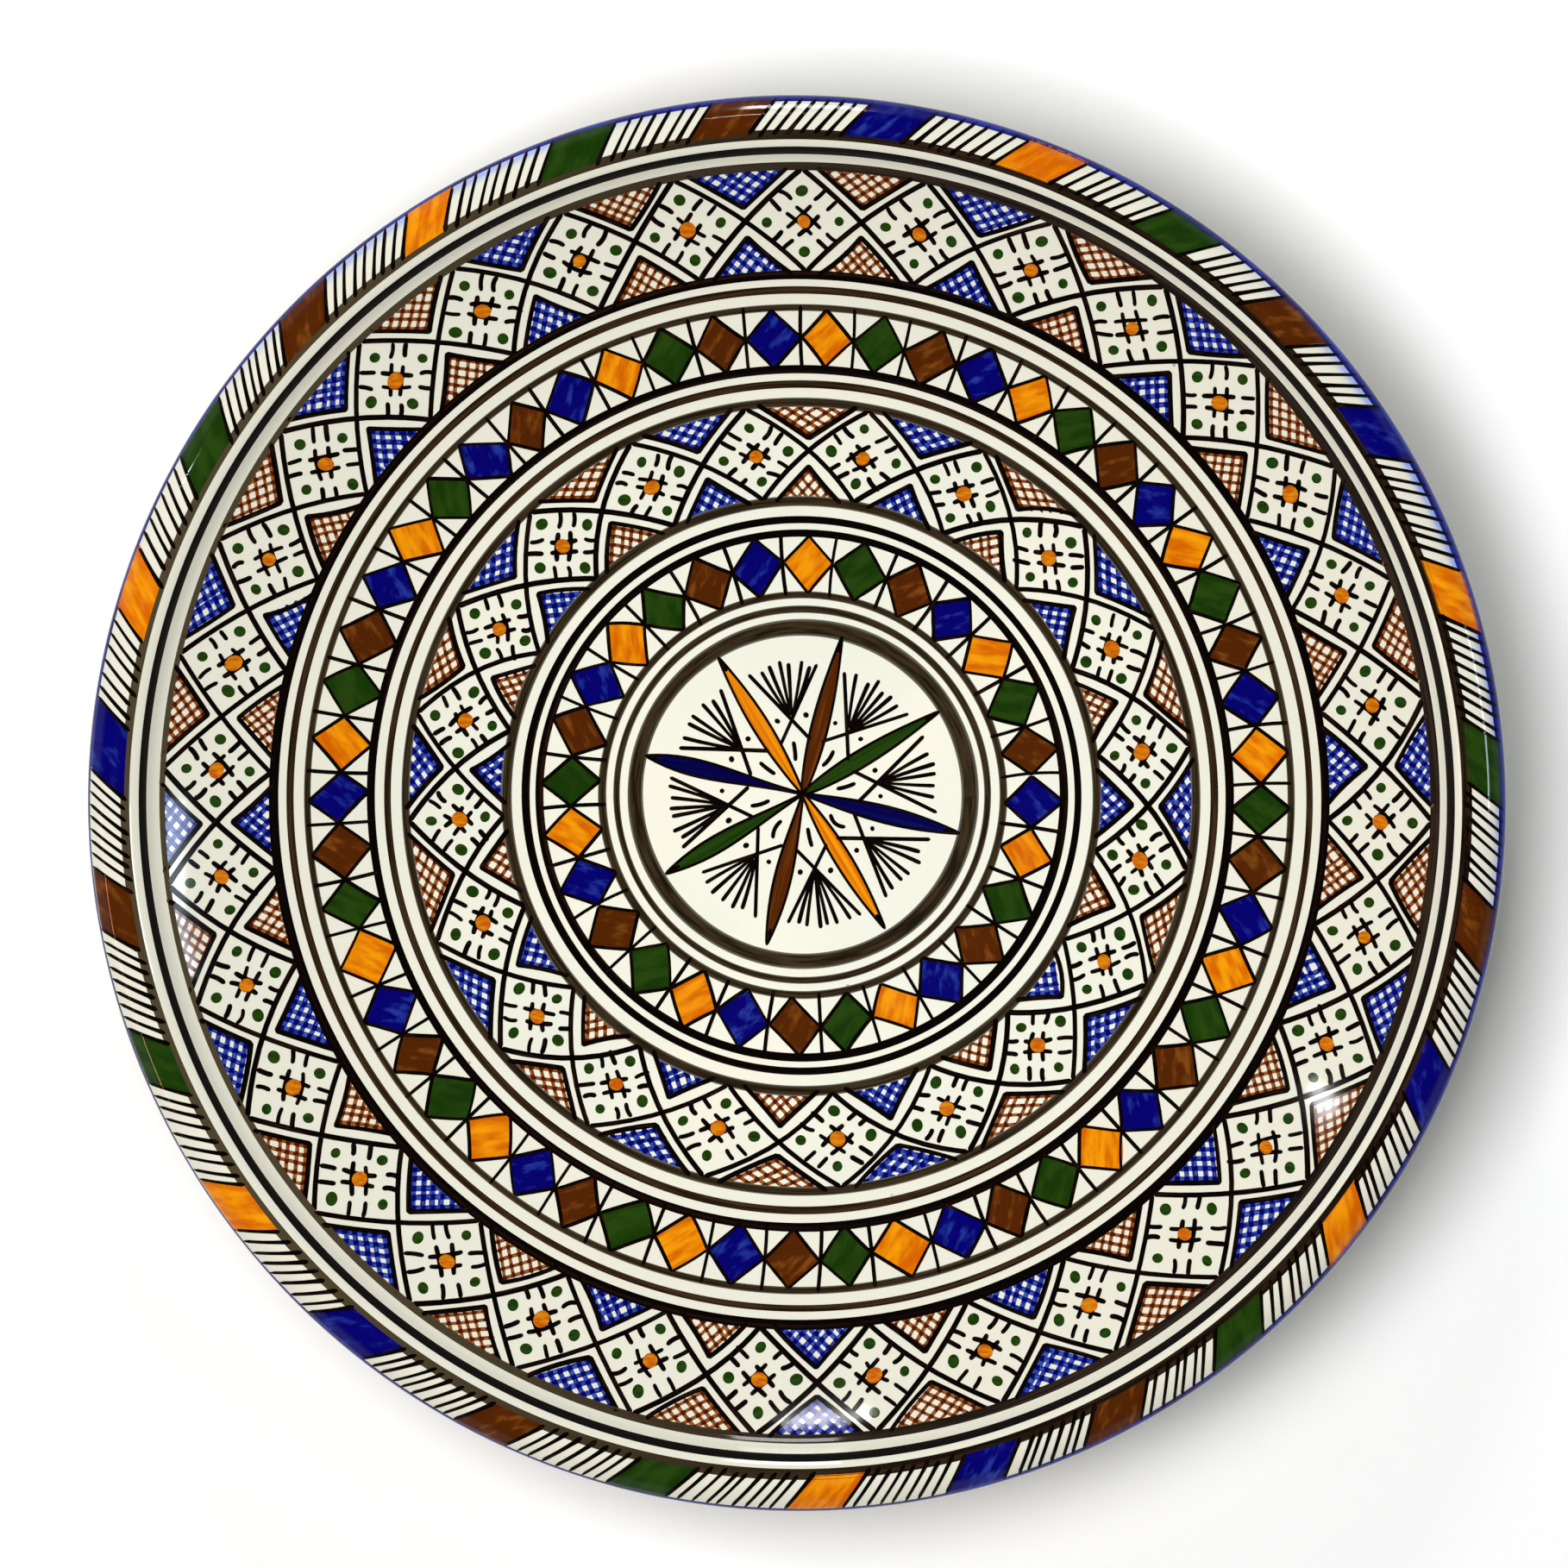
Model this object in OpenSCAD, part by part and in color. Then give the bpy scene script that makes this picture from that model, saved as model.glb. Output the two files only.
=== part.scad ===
// Hand painted earthenware plate: a wheel-thrown dish on a luted foot, covered with
// off-white glaze and painted with rings, flower tiles, lozenges and a star.
// Millimetres, +Z up, standing on z = 0, with the plate's axis on the Z axis.

/* [Dish] */
// Radius of the glazed plate at its lip
rim_r = 200; // [185:1:240]
// Depth of the dish at its centre, below the crest of the rim
dish_depth = 46; // [36:1:60]
// Room under the middle of the dish
under_gap = 10; // [4:1:20]
// Thickness of the clay wall
clay_t = 7; // [5:0.5:9]
// Radius of the hollow round under the rim
under_rim_r = 2; // [1:0.5:4]
// Slope at which the crest of the rim runs into the lip, in degrees
lip_slope = 40; // [30:1:50]
// Slope of the wall below the rim, in degrees
wall_slope = 52; // [45:1:60]
// Length of the straight stretch of the wall
wall_l = 2; // [1:0.5:5]
// Radius of the hollow corner between the wall and the floor
corner_r = 11; // [8:1:16]

/* [Foot] */
// Outer radius of the foot ring
foot_r = 88; // [70:1:110]
// Thickness of the foot ring
foot_t = 10; // [7:0.5:14]
// Rounding of the lower edges of the foot ring
foot_round = 2; // [1:0.5:3]
// Diameter of the two holes for a hanging wire
hole_d = 4; // [2:0.5:5]
// Height of the holes above the table
hole_z = 8; // [6:0.5:10]
// Angle between the two holes, seen from the axis
hole_spread = 24; // [12:1:40]

/* [Coats] */
// Thickness of the fired glaze
glaze_t = 0.6; // [0.4:0.1:1]
// Thickness of the fired paint
paint_t = 0.3; // [0.2:0.05:0.5]
// Clear strip between two coats of paint that lie side by side
paint_gap = 0.4; // [0.2:0.1:0.8]

/* [Rings] */
// Width of a ring drawn on the banding wheel
ring_w = 1.6; // [1:0.1:2.4]
// Distance from ring to ring in a border of three
ring_pitch = 4.7; // [3.6:0.1:6]
// Width of the broad wash ring round the star
wash_w = 3.2; // [2:0.1:4]
// Width of the blue line on the edge of the lip, in plan
lip_line_w = 0.8; // [0.5:0.1:1.2]

/* [Rim] */
// Width of the painted band on the rim, in plan
rim_band_w = 10.7; // [9:0.1:14]
// Number of colour blocks on the rim
rim_blocks = 27; // [20:1:32]
// Block at which the order of the colours skips one
rim_slip = 10; // [1:1:20]
// Length of a colour block along the rim
rim_block_l = 16; // [10:0.5:20]
// Angle by which the blocks lean as they cross the rim
rim_lean = 2.7; // [0:0.1:5]

/* [Flower tiles] */
// Width of the outer band of tiles
outer_tile_w = 31.4; // [26:0.1:36]
// Number of tiles in the outer band
outer_tiles = 32; // [24:1:36]
// Width of the inner band of tiles
inner_tile_w = 28.2; // [24:0.1:32]
// Number of tiles in the inner band
inner_tiles = 20; // [16:1:24]
// Width of the black strokes
stroke_w = 1.2; // [0.8:0.1:1.6]
// Radius of the orange dot in the middle of a tile
eye_r = 2; // [1.4:0.1:2.6]
// Radius of the green dots in the corners of a tile
leaf_r = 1.3; // [0.8:0.1:1.8]
// Distance of the green dots from the middle of their tile
leaf_reach = 8.2; // [6:0.1:9]

/* [Lozenges] */
// Width of a band of lozenges
lozenge_w = 17.6; // [14:0.1:20]
// Number of lozenges in the outer band
outer_lozenges = 53; // [44:1:58]
// Lozenge at which one more blue is put into the order
lozenge_slip = 20; // [1:1:40]
// Number of lozenges in the inner band
inner_lozenges = 28; // [20:1:32]

/* [Star] */
// Number of petals, and of palm sprays between them
petals = 8; // [6:1:10]
// Greatest width of a petal
petal_w = 4.4; // [3:0.1:6]
// Bare hub in which the petals end
hub_r = 6.6; // [5:0.1:9]
// Turn of the first petal
petal_turn = -14; // [-45:1:45]
// Where a palm spray starts on the way from the hub to the broad wash ring
spray_start = 0.4; // [0.3:0.01:0.5]
// Where its strokes end on the same way
spray_stop = 0.82; // [0.6:0.01:0.9]
// Number of strokes in a spray
spray_strokes = 7; // [5:1:9]
// Angle from the first to the last stroke of a spray
spray_fan = 64; // [40:1:80]

/* [Hidden] */
$fn = 240;

// Section of the face: floor arc, corner arc, straight wall, crest arc and lip arc, each tangent
// to the next. Points are [radius, height], and every coat keeps the same centres.
wall_n = [-sin(wall_slope), cos(wall_slope)];
wall_up = [cos(wall_slope), sin(wall_slope)];
lip_dir = [sin(lip_slope), cos(lip_slope)];
floor_z = under_gap + clay_t + 2 * glaze_t;
crest_z = floor_z + dish_depth;
lip_r = clay_t / 2 + glaze_t;
crest_r = under_rim_r + 2 * lip_r;
crest_c = [rim_r - lip_r - (crest_r - lip_r) * lip_dir.x, crest_z - crest_r];
lip_c = crest_c + (crest_r - lip_r) * lip_dir;
wall_top = crest_c + crest_r * wall_n;
wall_foot = wall_top - wall_l * wall_up;
corner_c = wall_foot + corner_r * wall_n;
corner_rise = corner_c.y - floor_z;
floor_r = (corner_c.x ^ 2 + corner_rise ^ 2 - corner_r ^ 2) / (2 * (corner_rise - corner_r));
floor_c = [0, floor_z + floor_r];
floor_slope = asin(corner_c.x / (floor_r - corner_r));
floor_end_r = floor_r * sin(floor_slope);

// Steps in which the arcs of the section are drawn
floor_steps = 48;
corner_steps = 10;
crest_steps = 24;
lip_steps = 24;
ring_steps = 4;

// Radius of a sphere that clears the steps of the floor: paint lies on it
floor_paint_r = floor_r * cos(floor_slope / floor_steps);

// Lifts of the clay and of the back, measured from the glazed face along its normal
clay_lift = -glaze_t;
back_lift = -glaze_t - clay_t;
under_lift = -2 * glaze_t - clay_t;

// Radii of the painted bands, from the rim inwards, with a border of three rings between them
border_w = 2 * ring_pitch;
rim_in = rim_r - rim_band_w;
outer_tile_out = rim_in - border_w;
outer_tile_in = outer_tile_out - outer_tile_w;
outer_lozenge_out = outer_tile_in - border_w;
outer_lozenge_in = outer_lozenge_out - lozenge_w;
inner_tile_out = outer_lozenge_in - border_w;
inner_tile_in = inner_tile_out - inner_tile_w;
inner_lozenge_out = inner_tile_in - border_w;
inner_lozenge_in = inner_lozenge_out - lozenge_w;
star_out = inner_lozenge_in - border_w;
black_r = [
    rim_in - ring_pitch, outer_tile_in, outer_tile_in - ring_pitch, outer_lozenge_in,
    outer_lozenge_in - ring_pitch, inner_tile_in - ring_pitch, inner_lozenge_out
];
wash_r = [
    rim_in, outer_tile_out, outer_lozenge_out, inner_tile_out, inner_tile_in,
    inner_lozenge_in, inner_lozenge_in - ring_pitch
];
edge_gap = ring_w / 2 + paint_gap;
spray_room = star_out - wash_w / 2 - hub_r;
spray_r = hub_r + spray_start * spray_room;
spray_l = (spray_stop - spray_start) * spray_room;

// Angles at which the bands start, and the order of their colours
GREEN = 0;
ORANGE = 1;
BLUE = 2;
BROWN = 3;
inner_order = [BLUE, BROWN, GREEN, ORANGE];
petal_order = [BLUE, GREEN, BROWN, ORANGE];
paint_colours = ["darkgreen", "darkorange", "mediumblue", "saddlebrown"];
rim_start = 3;
outer_tile_start = 9.8;
inner_tile_start = 8.4;
outer_lozenge_start = 0;
inner_lozenge_start = 1.5;

function rim_colour(i) = (i < rim_slip ? i : i + 1) % 4;
function outer_lozenge_colour(i) = i < lozenge_slip ? i % 4 : i == lozenge_slip ? BLUE : (i - 1) % 4;
function inner_lozenge_colour(i) = inner_order[i % 4];
function petal_colour(i) = petal_order[i % 4];

function polar(r, a) = [r * cos(a), r * sin(a)];
function reversed(list) = [for (i = [len(list) - 1 : -1 : 0]) list[i]];
function rest(list) = [for (i = [1 : len(list) - 1]) list[i]];
function arc(c, r, from, to, steps) = [for (i = [0 : steps]) c + polar(r, from + (to - from) * i / steps)];

// The lifted face, from the axis to where the lip begins
function face(lift) = concat(
    arc(floor_c, floor_r - lift, -90, floor_slope - 90, floor_steps),
    rest(arc(corner_c, corner_r - lift, floor_slope - 90, wall_slope - 90, corner_steps)),
    arc(crest_c, crest_r + lift, 90 + wall_slope, 90 - lip_slope, crest_steps)
);

// The lifted face round the lip, without the point that it shares with face()
function lip(lift) = rest(arc(lip_c, lip_r + lift, 90 - lip_slope, -90 - lip_slope, lip_steps));

// A point of the lifted face, given by its radius on the glaze
function face_point(r, lift) =
    r <= floor_end_r ? floor_c + polar(floor_r - lift, asin(r / floor_r) - 90) :
    r <= wall_foot.x ? corner_c + polar(corner_r - lift, asin((r - corner_c.x) / corner_r) - 90) :
    r <= wall_top.x ? wall_foot + (r - wall_foot.x) / wall_up.x * wall_up + lift * wall_n :
    crest_c + polar(crest_r + lift, 90 - asin((r - crest_c.x) / crest_r));

// Section of the foot ring, with round lower edges
module foot_section() {
    inner_r = foot_r - foot_t;
    translate([inner_r, foot_round]) square([foot_t, crest_z]);
    translate([inner_r + foot_round, 0]) square([foot_t - 2 * foot_round, crest_z]);
    translate([inner_r + foot_round, foot_round]) circle(foot_round);
    translate([foot_r - foot_round, foot_round]) circle(foot_round);
}

// A line that runs round the plate
module ring(r, w) {
    across = [for (i = [0 : ring_steps]) r + w * (i / ring_steps - 0.5)];
    rotate_extrude() polygon(concat(
        [for (q = across) face_point(q, 0)], [for (q = reversed(across)) face_point(q, paint_t)]
    ));
}

// Paint on the floor between two radii, cut to the outlines that are given in plan
module floor_paint(r_in, r_out) {
    intersection() {
        rotate_extrude() intersection() {
            translate(floor_c) difference() {
                circle(floor_paint_r);
                circle(floor_paint_r - paint_t);
            }
            translate([r_in, 0]) square([r_out - r_in, crest_z]);
        }
        linear_extrude(crest_z) children();
    }
}

// Paint on the crest of the rim, cut in the same way
module rim_paint() {
    intersection() {
        rotate_extrude() intersection() {
            translate(crest_c) difference() {
                circle(crest_r + paint_t);
                circle(crest_r);
            }
            translate([rim_in, crest_c.y]) square([rim_band_w, crest_z]);
        }
        translate([0, 0, crest_c.y]) linear_extrude(crest_z) children();
    }
}

// A straight brush stroke in plan
module stroke(p, q, w) {
    n = w / 2 * [p.y - q.y, q.x - p.x] / norm(q - p);
    polygon([p + n, q + n, q - n, p - n]);
}

// A round dab of paint on the floor, at radius r and angle a
module dab(r, a, dab_r) {
    translate([0, 0, floor_c.y]) rotate(a) rotate([0, -asin(r / floor_r), 0])
        translate([0, 0, -floor_paint_r]) cylinder(r = dab_r, h = paint_t, $fn = 48);
}

// A colour block that leans across the crest of the rim
module rim_block(i) {
    a = rim_start + i * 360 / rim_blocks;
    half = rim_block_l / 2 / rim_r * 180 / PI;
    outer = min(crest_c.x + crest_r * lip_dir.x, rim_r - lip_line_w) - paint_gap;
    inner = rim_in + edge_gap;
    polygon([
        polar(outer, a - half), polar(outer, a + half),
        polar(inner, a + half + rim_lean), polar(inner, a - half + rim_lean)
    ]);
}

// A lozenge with its points near the two rings and the two bars beside it
module lozenge(r_in, count, start, i) {
    a = start + i * 360 / count;
    middle = r_in + lozenge_w / 2;
    half = asin(sin(180 / count) - (stroke_w / 2 + paint_gap) / middle);
    polygon([
        polar(r_in + edge_gap, a), polar(middle, a + half),
        polar(r_in + lozenge_w - edge_gap, a), polar(middle, a - half)
    ]);
}

// A lance-shaped petal between two equal arcs
module petal(i) {
    l = star_out - wash_w / 2 - paint_gap - hub_r;
    arc_r = (l ^ 2 + petal_w ^ 2) / (4 * petal_w);
    rotate(petal_turn + i * 360 / petals) translate([hub_r + l / 2, 0]) intersection() {
        translate([0, arc_r - petal_w / 2]) circle(arc_r);
        translate([0, petal_w / 2 - arc_r]) circle(arc_r);
    }
}

// All fills of one colour: rim blocks, lozenges and petals
module fills(colour) {
    rim_paint() for (i = [0 : rim_blocks - 1])
        if (rim_colour(i) == colour) rim_block(i);
    floor_paint(outer_lozenge_in, outer_lozenge_out) for (i = [0 : outer_lozenges - 1])
        if (outer_lozenge_colour(i) == colour)
            lozenge(outer_lozenge_in, outer_lozenges, outer_lozenge_start, i);
    floor_paint(inner_lozenge_in, inner_lozenge_out) for (i = [0 : inner_lozenges - 1])
        if (inner_lozenge_colour(i) == colour)
            lozenge(inner_lozenge_in, inner_lozenges, inner_lozenge_start, i);
    floor_paint(hub_r / 2, star_out) for (i = [0 : petals - 1])
        if (petal_colour(i) == colour) petal(i);
}

// Orange dots in the middle of a band's tiles
module eyes(r_in, w, count, start) {
    for (i = [0 : count - 1])
        dab(r_in + w / 2, start + i * 360 / count, eye_r);
}

// Green dots in the four corners of a band's tiles
module leaves(r_in, w, count, start) {
    middle = r_in + w / 2;
    side_r = norm([middle, leaf_reach]);
    side_a = atan(leaf_reach / middle);
    for (i = [0 : count - 1]) {
        a = start + i * 360 / count;
        dab(middle - leaf_reach, a, leaf_r);
        dab(middle + leaf_reach, a, leaf_r);
        dab(side_r, a - side_a, leaf_r);
        dab(side_r, a + side_a, leaf_r);
    }
}

// Crossing strokes that part a band into tiles and stay on the floor
module lattice(r_in, w, count, start) {
    low = r_in + edge_gap;
    high = min(r_in + w - edge_gap, floor_end_r - stroke_w / 2);
    step = 360 / count;
    floor_paint(r_in, r_in + w) for (i = [0 : count - 1]) {
        a = start + i * step;
        stroke(polar(high, a), polar(low, a + step), stroke_w);
        stroke(polar(low, a), polar(high, a + step), stroke_w);
    }
}

// Bars between the lozenges of a band
module bars(r_in, count, start) {
    floor_paint(r_in, r_in + lozenge_w) for (i = [0 : count - 1]) {
        a = start + (i + 0.5) * 360 / count;
        stroke(polar(r_in + edge_gap, a), polar(r_in + lozenge_w - edge_gap, a), stroke_w);
    }
}

// A palm spray: strokes that fan out from one point
module spray(i) {
    rotate(petal_turn + (i + 0.5) * 360 / petals) translate([spray_r, 0])
        for (k = [0 : spray_strokes - 1])
            stroke([0, 0], polar(spray_l, spray_fan * (k / (spray_strokes - 1) - 0.5)), stroke_w);
}

module thrown_dish() {
    color("sienna") rotate_extrude()
        polygon(concat(face(clay_lift), lip(clay_lift), rest(reversed(face(back_lift)))));
}

module foot_ring() {
    color("peru") difference() {
        rotate_extrude() difference() {
            foot_section();
            polygon(concat(face(back_lift), [[rim_r, 2 * crest_z], [0, 2 * crest_z]]));
        }
        for (side = [-1, 1])
            rotate(90 + side * hole_spread / 2) translate([foot_r - foot_t / 2, 0, hole_z])
                rotate([0, 90, 0]) cylinder(d = hole_d, h = 2 * foot_t, center = true);
    }
}

module face_glaze() {
    color("ivory") rotate_extrude() polygon(concat(
        face(0), lip(0), reversed(lip(clay_lift)), reversed(face(clay_lift))
    ));
}

module back_glaze() {
    color("floralwhite") rotate_extrude() difference() {
        polygon(concat(face(under_lift), reversed(face(back_lift))));
        translate([foot_r - foot_t, 0]) square([foot_t, crest_z]);
    }
}

// The blue line lies on the part of the lip that reaches furthest out
module lip_line() {
    half = acos(1 - lip_line_w / lip_r);
    color("royalblue") rotate_extrude() polygon(concat(
        arc(lip_c, lip_r + paint_t, -half, half, lip_steps), arc(lip_c, lip_r, half, -half, lip_steps)
    ));
}

module black_rings() {
    color("black") for (r = black_r) ring(r, ring_w);
}

module wash_rings() {
    color("dimgray") {
        for (r = wash_r) ring(r, ring_w);
        ring(star_out, wash_w);
    }
}

module green_fills() {
    color(paint_colours[GREEN]) {
        fills(GREEN);
        leaves(outer_tile_in, outer_tile_w, outer_tiles, outer_tile_start);
        leaves(inner_tile_in, inner_tile_w, inner_tiles, inner_tile_start);
    }
}

module orange_fills() {
    color(paint_colours[ORANGE]) {
        fills(ORANGE);
        eyes(outer_tile_in, outer_tile_w, outer_tiles, outer_tile_start);
        eyes(inner_tile_in, inner_tile_w, inner_tiles, inner_tile_start);
    }
}

module blue_fills() {
    color(paint_colours[BLUE]) fills(BLUE);
}

module brown_fills() {
    color(paint_colours[BROWN]) fills(BROWN);
}

module tile_lattice() {
    color("black") {
        lattice(outer_tile_in, outer_tile_w, outer_tiles, outer_tile_start);
        lattice(inner_tile_in, inner_tile_w, inner_tiles, inner_tile_start);
    }
}

module lozenge_bars() {
    color("black") {
        bars(outer_lozenge_in, outer_lozenges, outer_lozenge_start);
        bars(inner_lozenge_in, inner_lozenges, inner_lozenge_start);
    }
}

module star_sprays() {
    color("black") floor_paint(hub_r / 2, star_out) for (i = [0 : petals - 1]) spray(i);
}

thrown_dish();
foot_ring();
face_glaze();
back_glaze();
lip_line();
black_rings();
wash_rings();
green_fills();
orange_fills();
blue_fills();
brown_fills();
tile_lattice();
lozenge_bars();
star_sprays();
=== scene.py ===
# %% [markdown]
# # A hand painted plate
# The real plate is a dish of red clay, thrown on a wheel, glazed off-white and painted with a brush before its last
# firing. Every line of the painting is a thin coat with the same gloss as the glaze. A picture could be wrapped over
# a plain dish instead, but here each brush stroke is a piece of its own surface, so it stays sharp at any distance.

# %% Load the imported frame
import math

import bpy
import numpy as np
from mathutils import Matrix


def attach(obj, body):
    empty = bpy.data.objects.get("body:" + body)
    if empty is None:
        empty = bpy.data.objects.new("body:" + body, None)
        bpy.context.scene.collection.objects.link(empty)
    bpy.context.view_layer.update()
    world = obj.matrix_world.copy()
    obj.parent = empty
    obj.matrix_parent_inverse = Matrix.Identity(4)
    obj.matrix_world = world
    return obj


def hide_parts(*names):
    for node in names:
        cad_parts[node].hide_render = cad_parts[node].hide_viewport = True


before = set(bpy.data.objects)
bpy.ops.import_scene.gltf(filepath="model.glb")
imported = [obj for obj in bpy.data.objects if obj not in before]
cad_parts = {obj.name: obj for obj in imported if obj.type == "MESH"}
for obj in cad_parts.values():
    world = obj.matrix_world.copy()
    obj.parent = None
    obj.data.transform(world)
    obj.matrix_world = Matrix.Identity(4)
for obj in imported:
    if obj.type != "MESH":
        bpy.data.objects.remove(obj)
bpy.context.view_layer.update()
hand = np.random.default_rng(23)  # the painter's uneven hand, the same on every run
print("CAD nodes:", ", ".join(sorted(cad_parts)))

# %% [markdown]
# ## The section of the dish
# From the middle to the lip the face is one smooth line: a shallow bowl, a tight hollow corner, a short wall, a
# rounded crest and a half-round lip. It could be a curve spun by a Screw modifier. Arcs that are worked out with
# numpy are better here, because every brush stroke has to know the height and the slope of the face under it.

# %% Arcs of the section, in millimetres
GLAZE, CLAY, RIM = 0.6, 7.0, 200.0
FLOOR_Z, CREST_Z = 18.2, 64.2
LIP_R, CREST_R, CORNER_R = 4.1, 10.2, 11.0
WALL, LIP_TURN, WALL_LONG = math.radians(52), math.radians(40), 2.0
# Centres of the arcs and both ends of the wall, each as radius and height.
crest = np.array([RIM - LIP_R - (CREST_R - LIP_R) * math.sin(LIP_TURN), CREST_Z - CREST_R])
lip = crest + (CREST_R - LIP_R) * np.array([math.sin(LIP_TURN), math.cos(LIP_TURN)])
wall_top = crest + CREST_R * np.array([-math.sin(WALL), math.cos(WALL)])
wall_foot = wall_top - WALL_LONG * np.array([math.cos(WALL), math.sin(WALL)])
corner = wall_foot + CORNER_R * np.array([-math.sin(WALL), math.cos(WALL)])
rise = corner[1] - FLOOR_Z
FLOOR_R = (corner[0] ** 2 + rise**2 - CORNER_R**2) / (2 * (rise - CORNER_R))
FLOOR_TURN = math.asin(corner[0] / (FLOOR_R - CORNER_R))
floor = np.array([0.0, FLOOR_Z + FLOOR_R])
print(f"floor arc {FLOOR_R:.1f} mm, corner starts at radius {FLOOR_R * math.sin(FLOOR_TURN):.1f} mm")


# %% Height and slope of the face
def face(r):
    """Height and slope at plan radius r: on an arc the slope is the arcsine of the distance from its centre over its
    radius, and the height is the centre's height, less radius times cosine in a hollow and plus it on a crest."""
    zones = [r <= FLOOR_R * math.sin(FLOOR_TURN), r <= wall_foot[0], r <= wall_top[0],
             r <= crest[0] + CREST_R * math.sin(LIP_TURN)]
    turn = lambda centre, radius: np.arcsin(np.clip((r - centre[0]) / radius, -1, 1))
    slope = np.select(zones, [turn(floor, FLOOR_R), turn(corner, CORNER_R), np.full_like(r, WALL),
                              -turn(crest, CREST_R)], -turn(lip, LIP_R))
    height = np.select(zones, [floor[1] - FLOOR_R * np.cos(slope), corner[1] - CORNER_R * np.cos(slope),
                               wall_foot[1] + (r - wall_foot[0]) * math.tan(WALL),
                               crest[1] + CREST_R * np.cos(slope)], lip[1] + LIP_R * np.cos(slope))
    return height, slope


def lay(plan, lift):
    """Lays plan points on the face: x and y stay, z is the height at their radius, and then each point moves along
    the normal by lift."""
    r = np.maximum(np.hypot(plan[..., 0], plan[..., 1]), 1e-6)
    height, slope = face(r)
    out = -np.sin(slope) / r
    normal = np.stack([plan[..., 0] * out, plan[..., 1] * out, np.cos(slope)], -1)
    return np.concatenate([plan, height[..., None]], -1) + normal * lift


middle_z, crest_z = face(np.array([0.0, crest[0]]))[0]
print(f"the face is {middle_z:.1f} mm high in the middle and {crest_z:.1f} mm on the crest")

# %% [markdown]
# ## From arrays to pieces
# A piece is one mesh with its faces, a UV map that follows the brush, and one number per stroke for its tint. Meshes
# could be built vertex by vertex with bmesh, but whole arrays are quicker and keep every formula in one place.

# %% Put arrays into a mesh that rides on the plate
MM, SHARP = 0.001, math.radians(35)
print(f"edges that turn by more than {math.degrees(SHARP):.0f} degrees stay sharp")


def placed(name, data):
    """A new object in the scene, at the origin."""
    obj = bpy.data.objects.new(name, data)
    bpy.context.scene.collection.objects.link(obj)
    return obj


def piece(name, batch, material, slot, *nodes):
    """One closed mesh from a batch of vertices in millimetres, faces, UVs and tints, smooth but sharp at its edges."""
    mesh = bpy.data.meshes.new(name)
    loops = np.concatenate([f.ravel() for f in batch["faces"]])
    sizes = np.concatenate([np.full(len(f), f.shape[1]) for f in batch["faces"]])
    mesh.vertices.add(len(batch["verts"]))
    mesh.vertices.foreach_set("co", (batch["verts"] * MM).astype(np.float32).ravel())
    mesh.loops.add(len(loops))
    mesh.loops.foreach_set("vertex_index", loops.astype(np.int32))
    mesh.polygons.add(len(sizes))
    mesh.polygons.foreach_set("loop_start", (np.cumsum(sizes) - sizes).astype(np.int32))
    mesh.update(calc_edges=True)
    uv = mesh.uv_layers.new(name="brush")
    uv.data.foreach_set("uv", batch["uv"][loops].astype(np.float32).ravel())
    tint = mesh.attributes.new("tint", "FLOAT", "POINT")
    tint.data.foreach_set("value", batch["tint"].astype(np.float32))
    mesh.shade_smooth()
    mesh.set_sharp_from_angle(angle=SHARP)
    mesh.materials.append(material)
    obj = placed(name, mesh)
    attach(obj, "root")
    if nodes:
        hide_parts(*nodes)
    print(f"{name}: {len(mesh.vertices)} vertices, {len(mesh.polygons)} faces")
    return obj


def join(*batches):
    """One batch from several: indices move on by the number of vertices that come before them."""
    start = np.cumsum([0] + [len(b["verts"]) for b in batches])
    whole = {key: np.concatenate([b[key] for b in batches]) for key in ("verts", "uv", "tint")}
    return {**whole, "faces": [f + s for b, s in zip(batches, start) for f in b["faces"]]}


# %% Spin a section round the axis
def quads(grid):
    """Quads of an index grid, each with the grid's first direction before its second."""
    return np.stack([grid[:-1, :-1], grid[1:, :-1], grid[1:, 1:], grid[:-1, 1:]], -1).reshape(-1, 4)


def spun(section, around):
    """A section of radius and height turned about the axis: x = r cos a, y = r sin a. A point on the axis is one
    vertex with a fan of triangles, and a section that stays off the axis is closed into a ring."""
    poles = section[:, 0] < 1e-9
    rows = section[~poles]
    a = np.linspace(0, 2 * np.pi, around, endpoint=False)
    verts = np.stack([np.outer(rows[:, 0], np.cos(a)), np.outer(rows[:, 0], np.sin(a)),
                      np.repeat(rows[:, 1:], around, 1)], -1).reshape(-1, 3)
    on_axis = poles.any()
    grid = np.arange(len(verts)).reshape(len(rows), around)
    grid = np.pad(grid, ((0, 0 if on_axis else 1), (0, 1)), "wrap")
    faces = [quads(grid)]
    for row, turn in ((grid[0], 1), (grid[-1], -1)) if on_axis else ():
        tip = np.full(around, len(verts))
        verts = np.concatenate([verts, [[0, 0, section[0 if turn > 0 else -1, 1]]]])
        faces.append(np.stack([tip, row[:-1], row[1:]][::turn], -1))
    uv = np.stack([np.hypot(verts[:, 0], verts[:, 1]), np.arctan2(verts[:, 1], verts[:, 0])], -1)
    return {"verts": verts, "faces": faces, "uv": uv * 0.01, "tint": np.zeros(len(verts))}


print("quads between 3 by 4 points:", len(quads(np.arange(12).reshape(3, 4))))


# %% The face and the lip as lines
def arc(centre, radius, start, end, steps):
    """Points of a circle from one turn to another, in degrees, both ends included."""
    a = np.radians(np.linspace(start, end, steps + 1))
    return centre + radius * np.stack([np.cos(a), np.sin(a)], -1)


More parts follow.
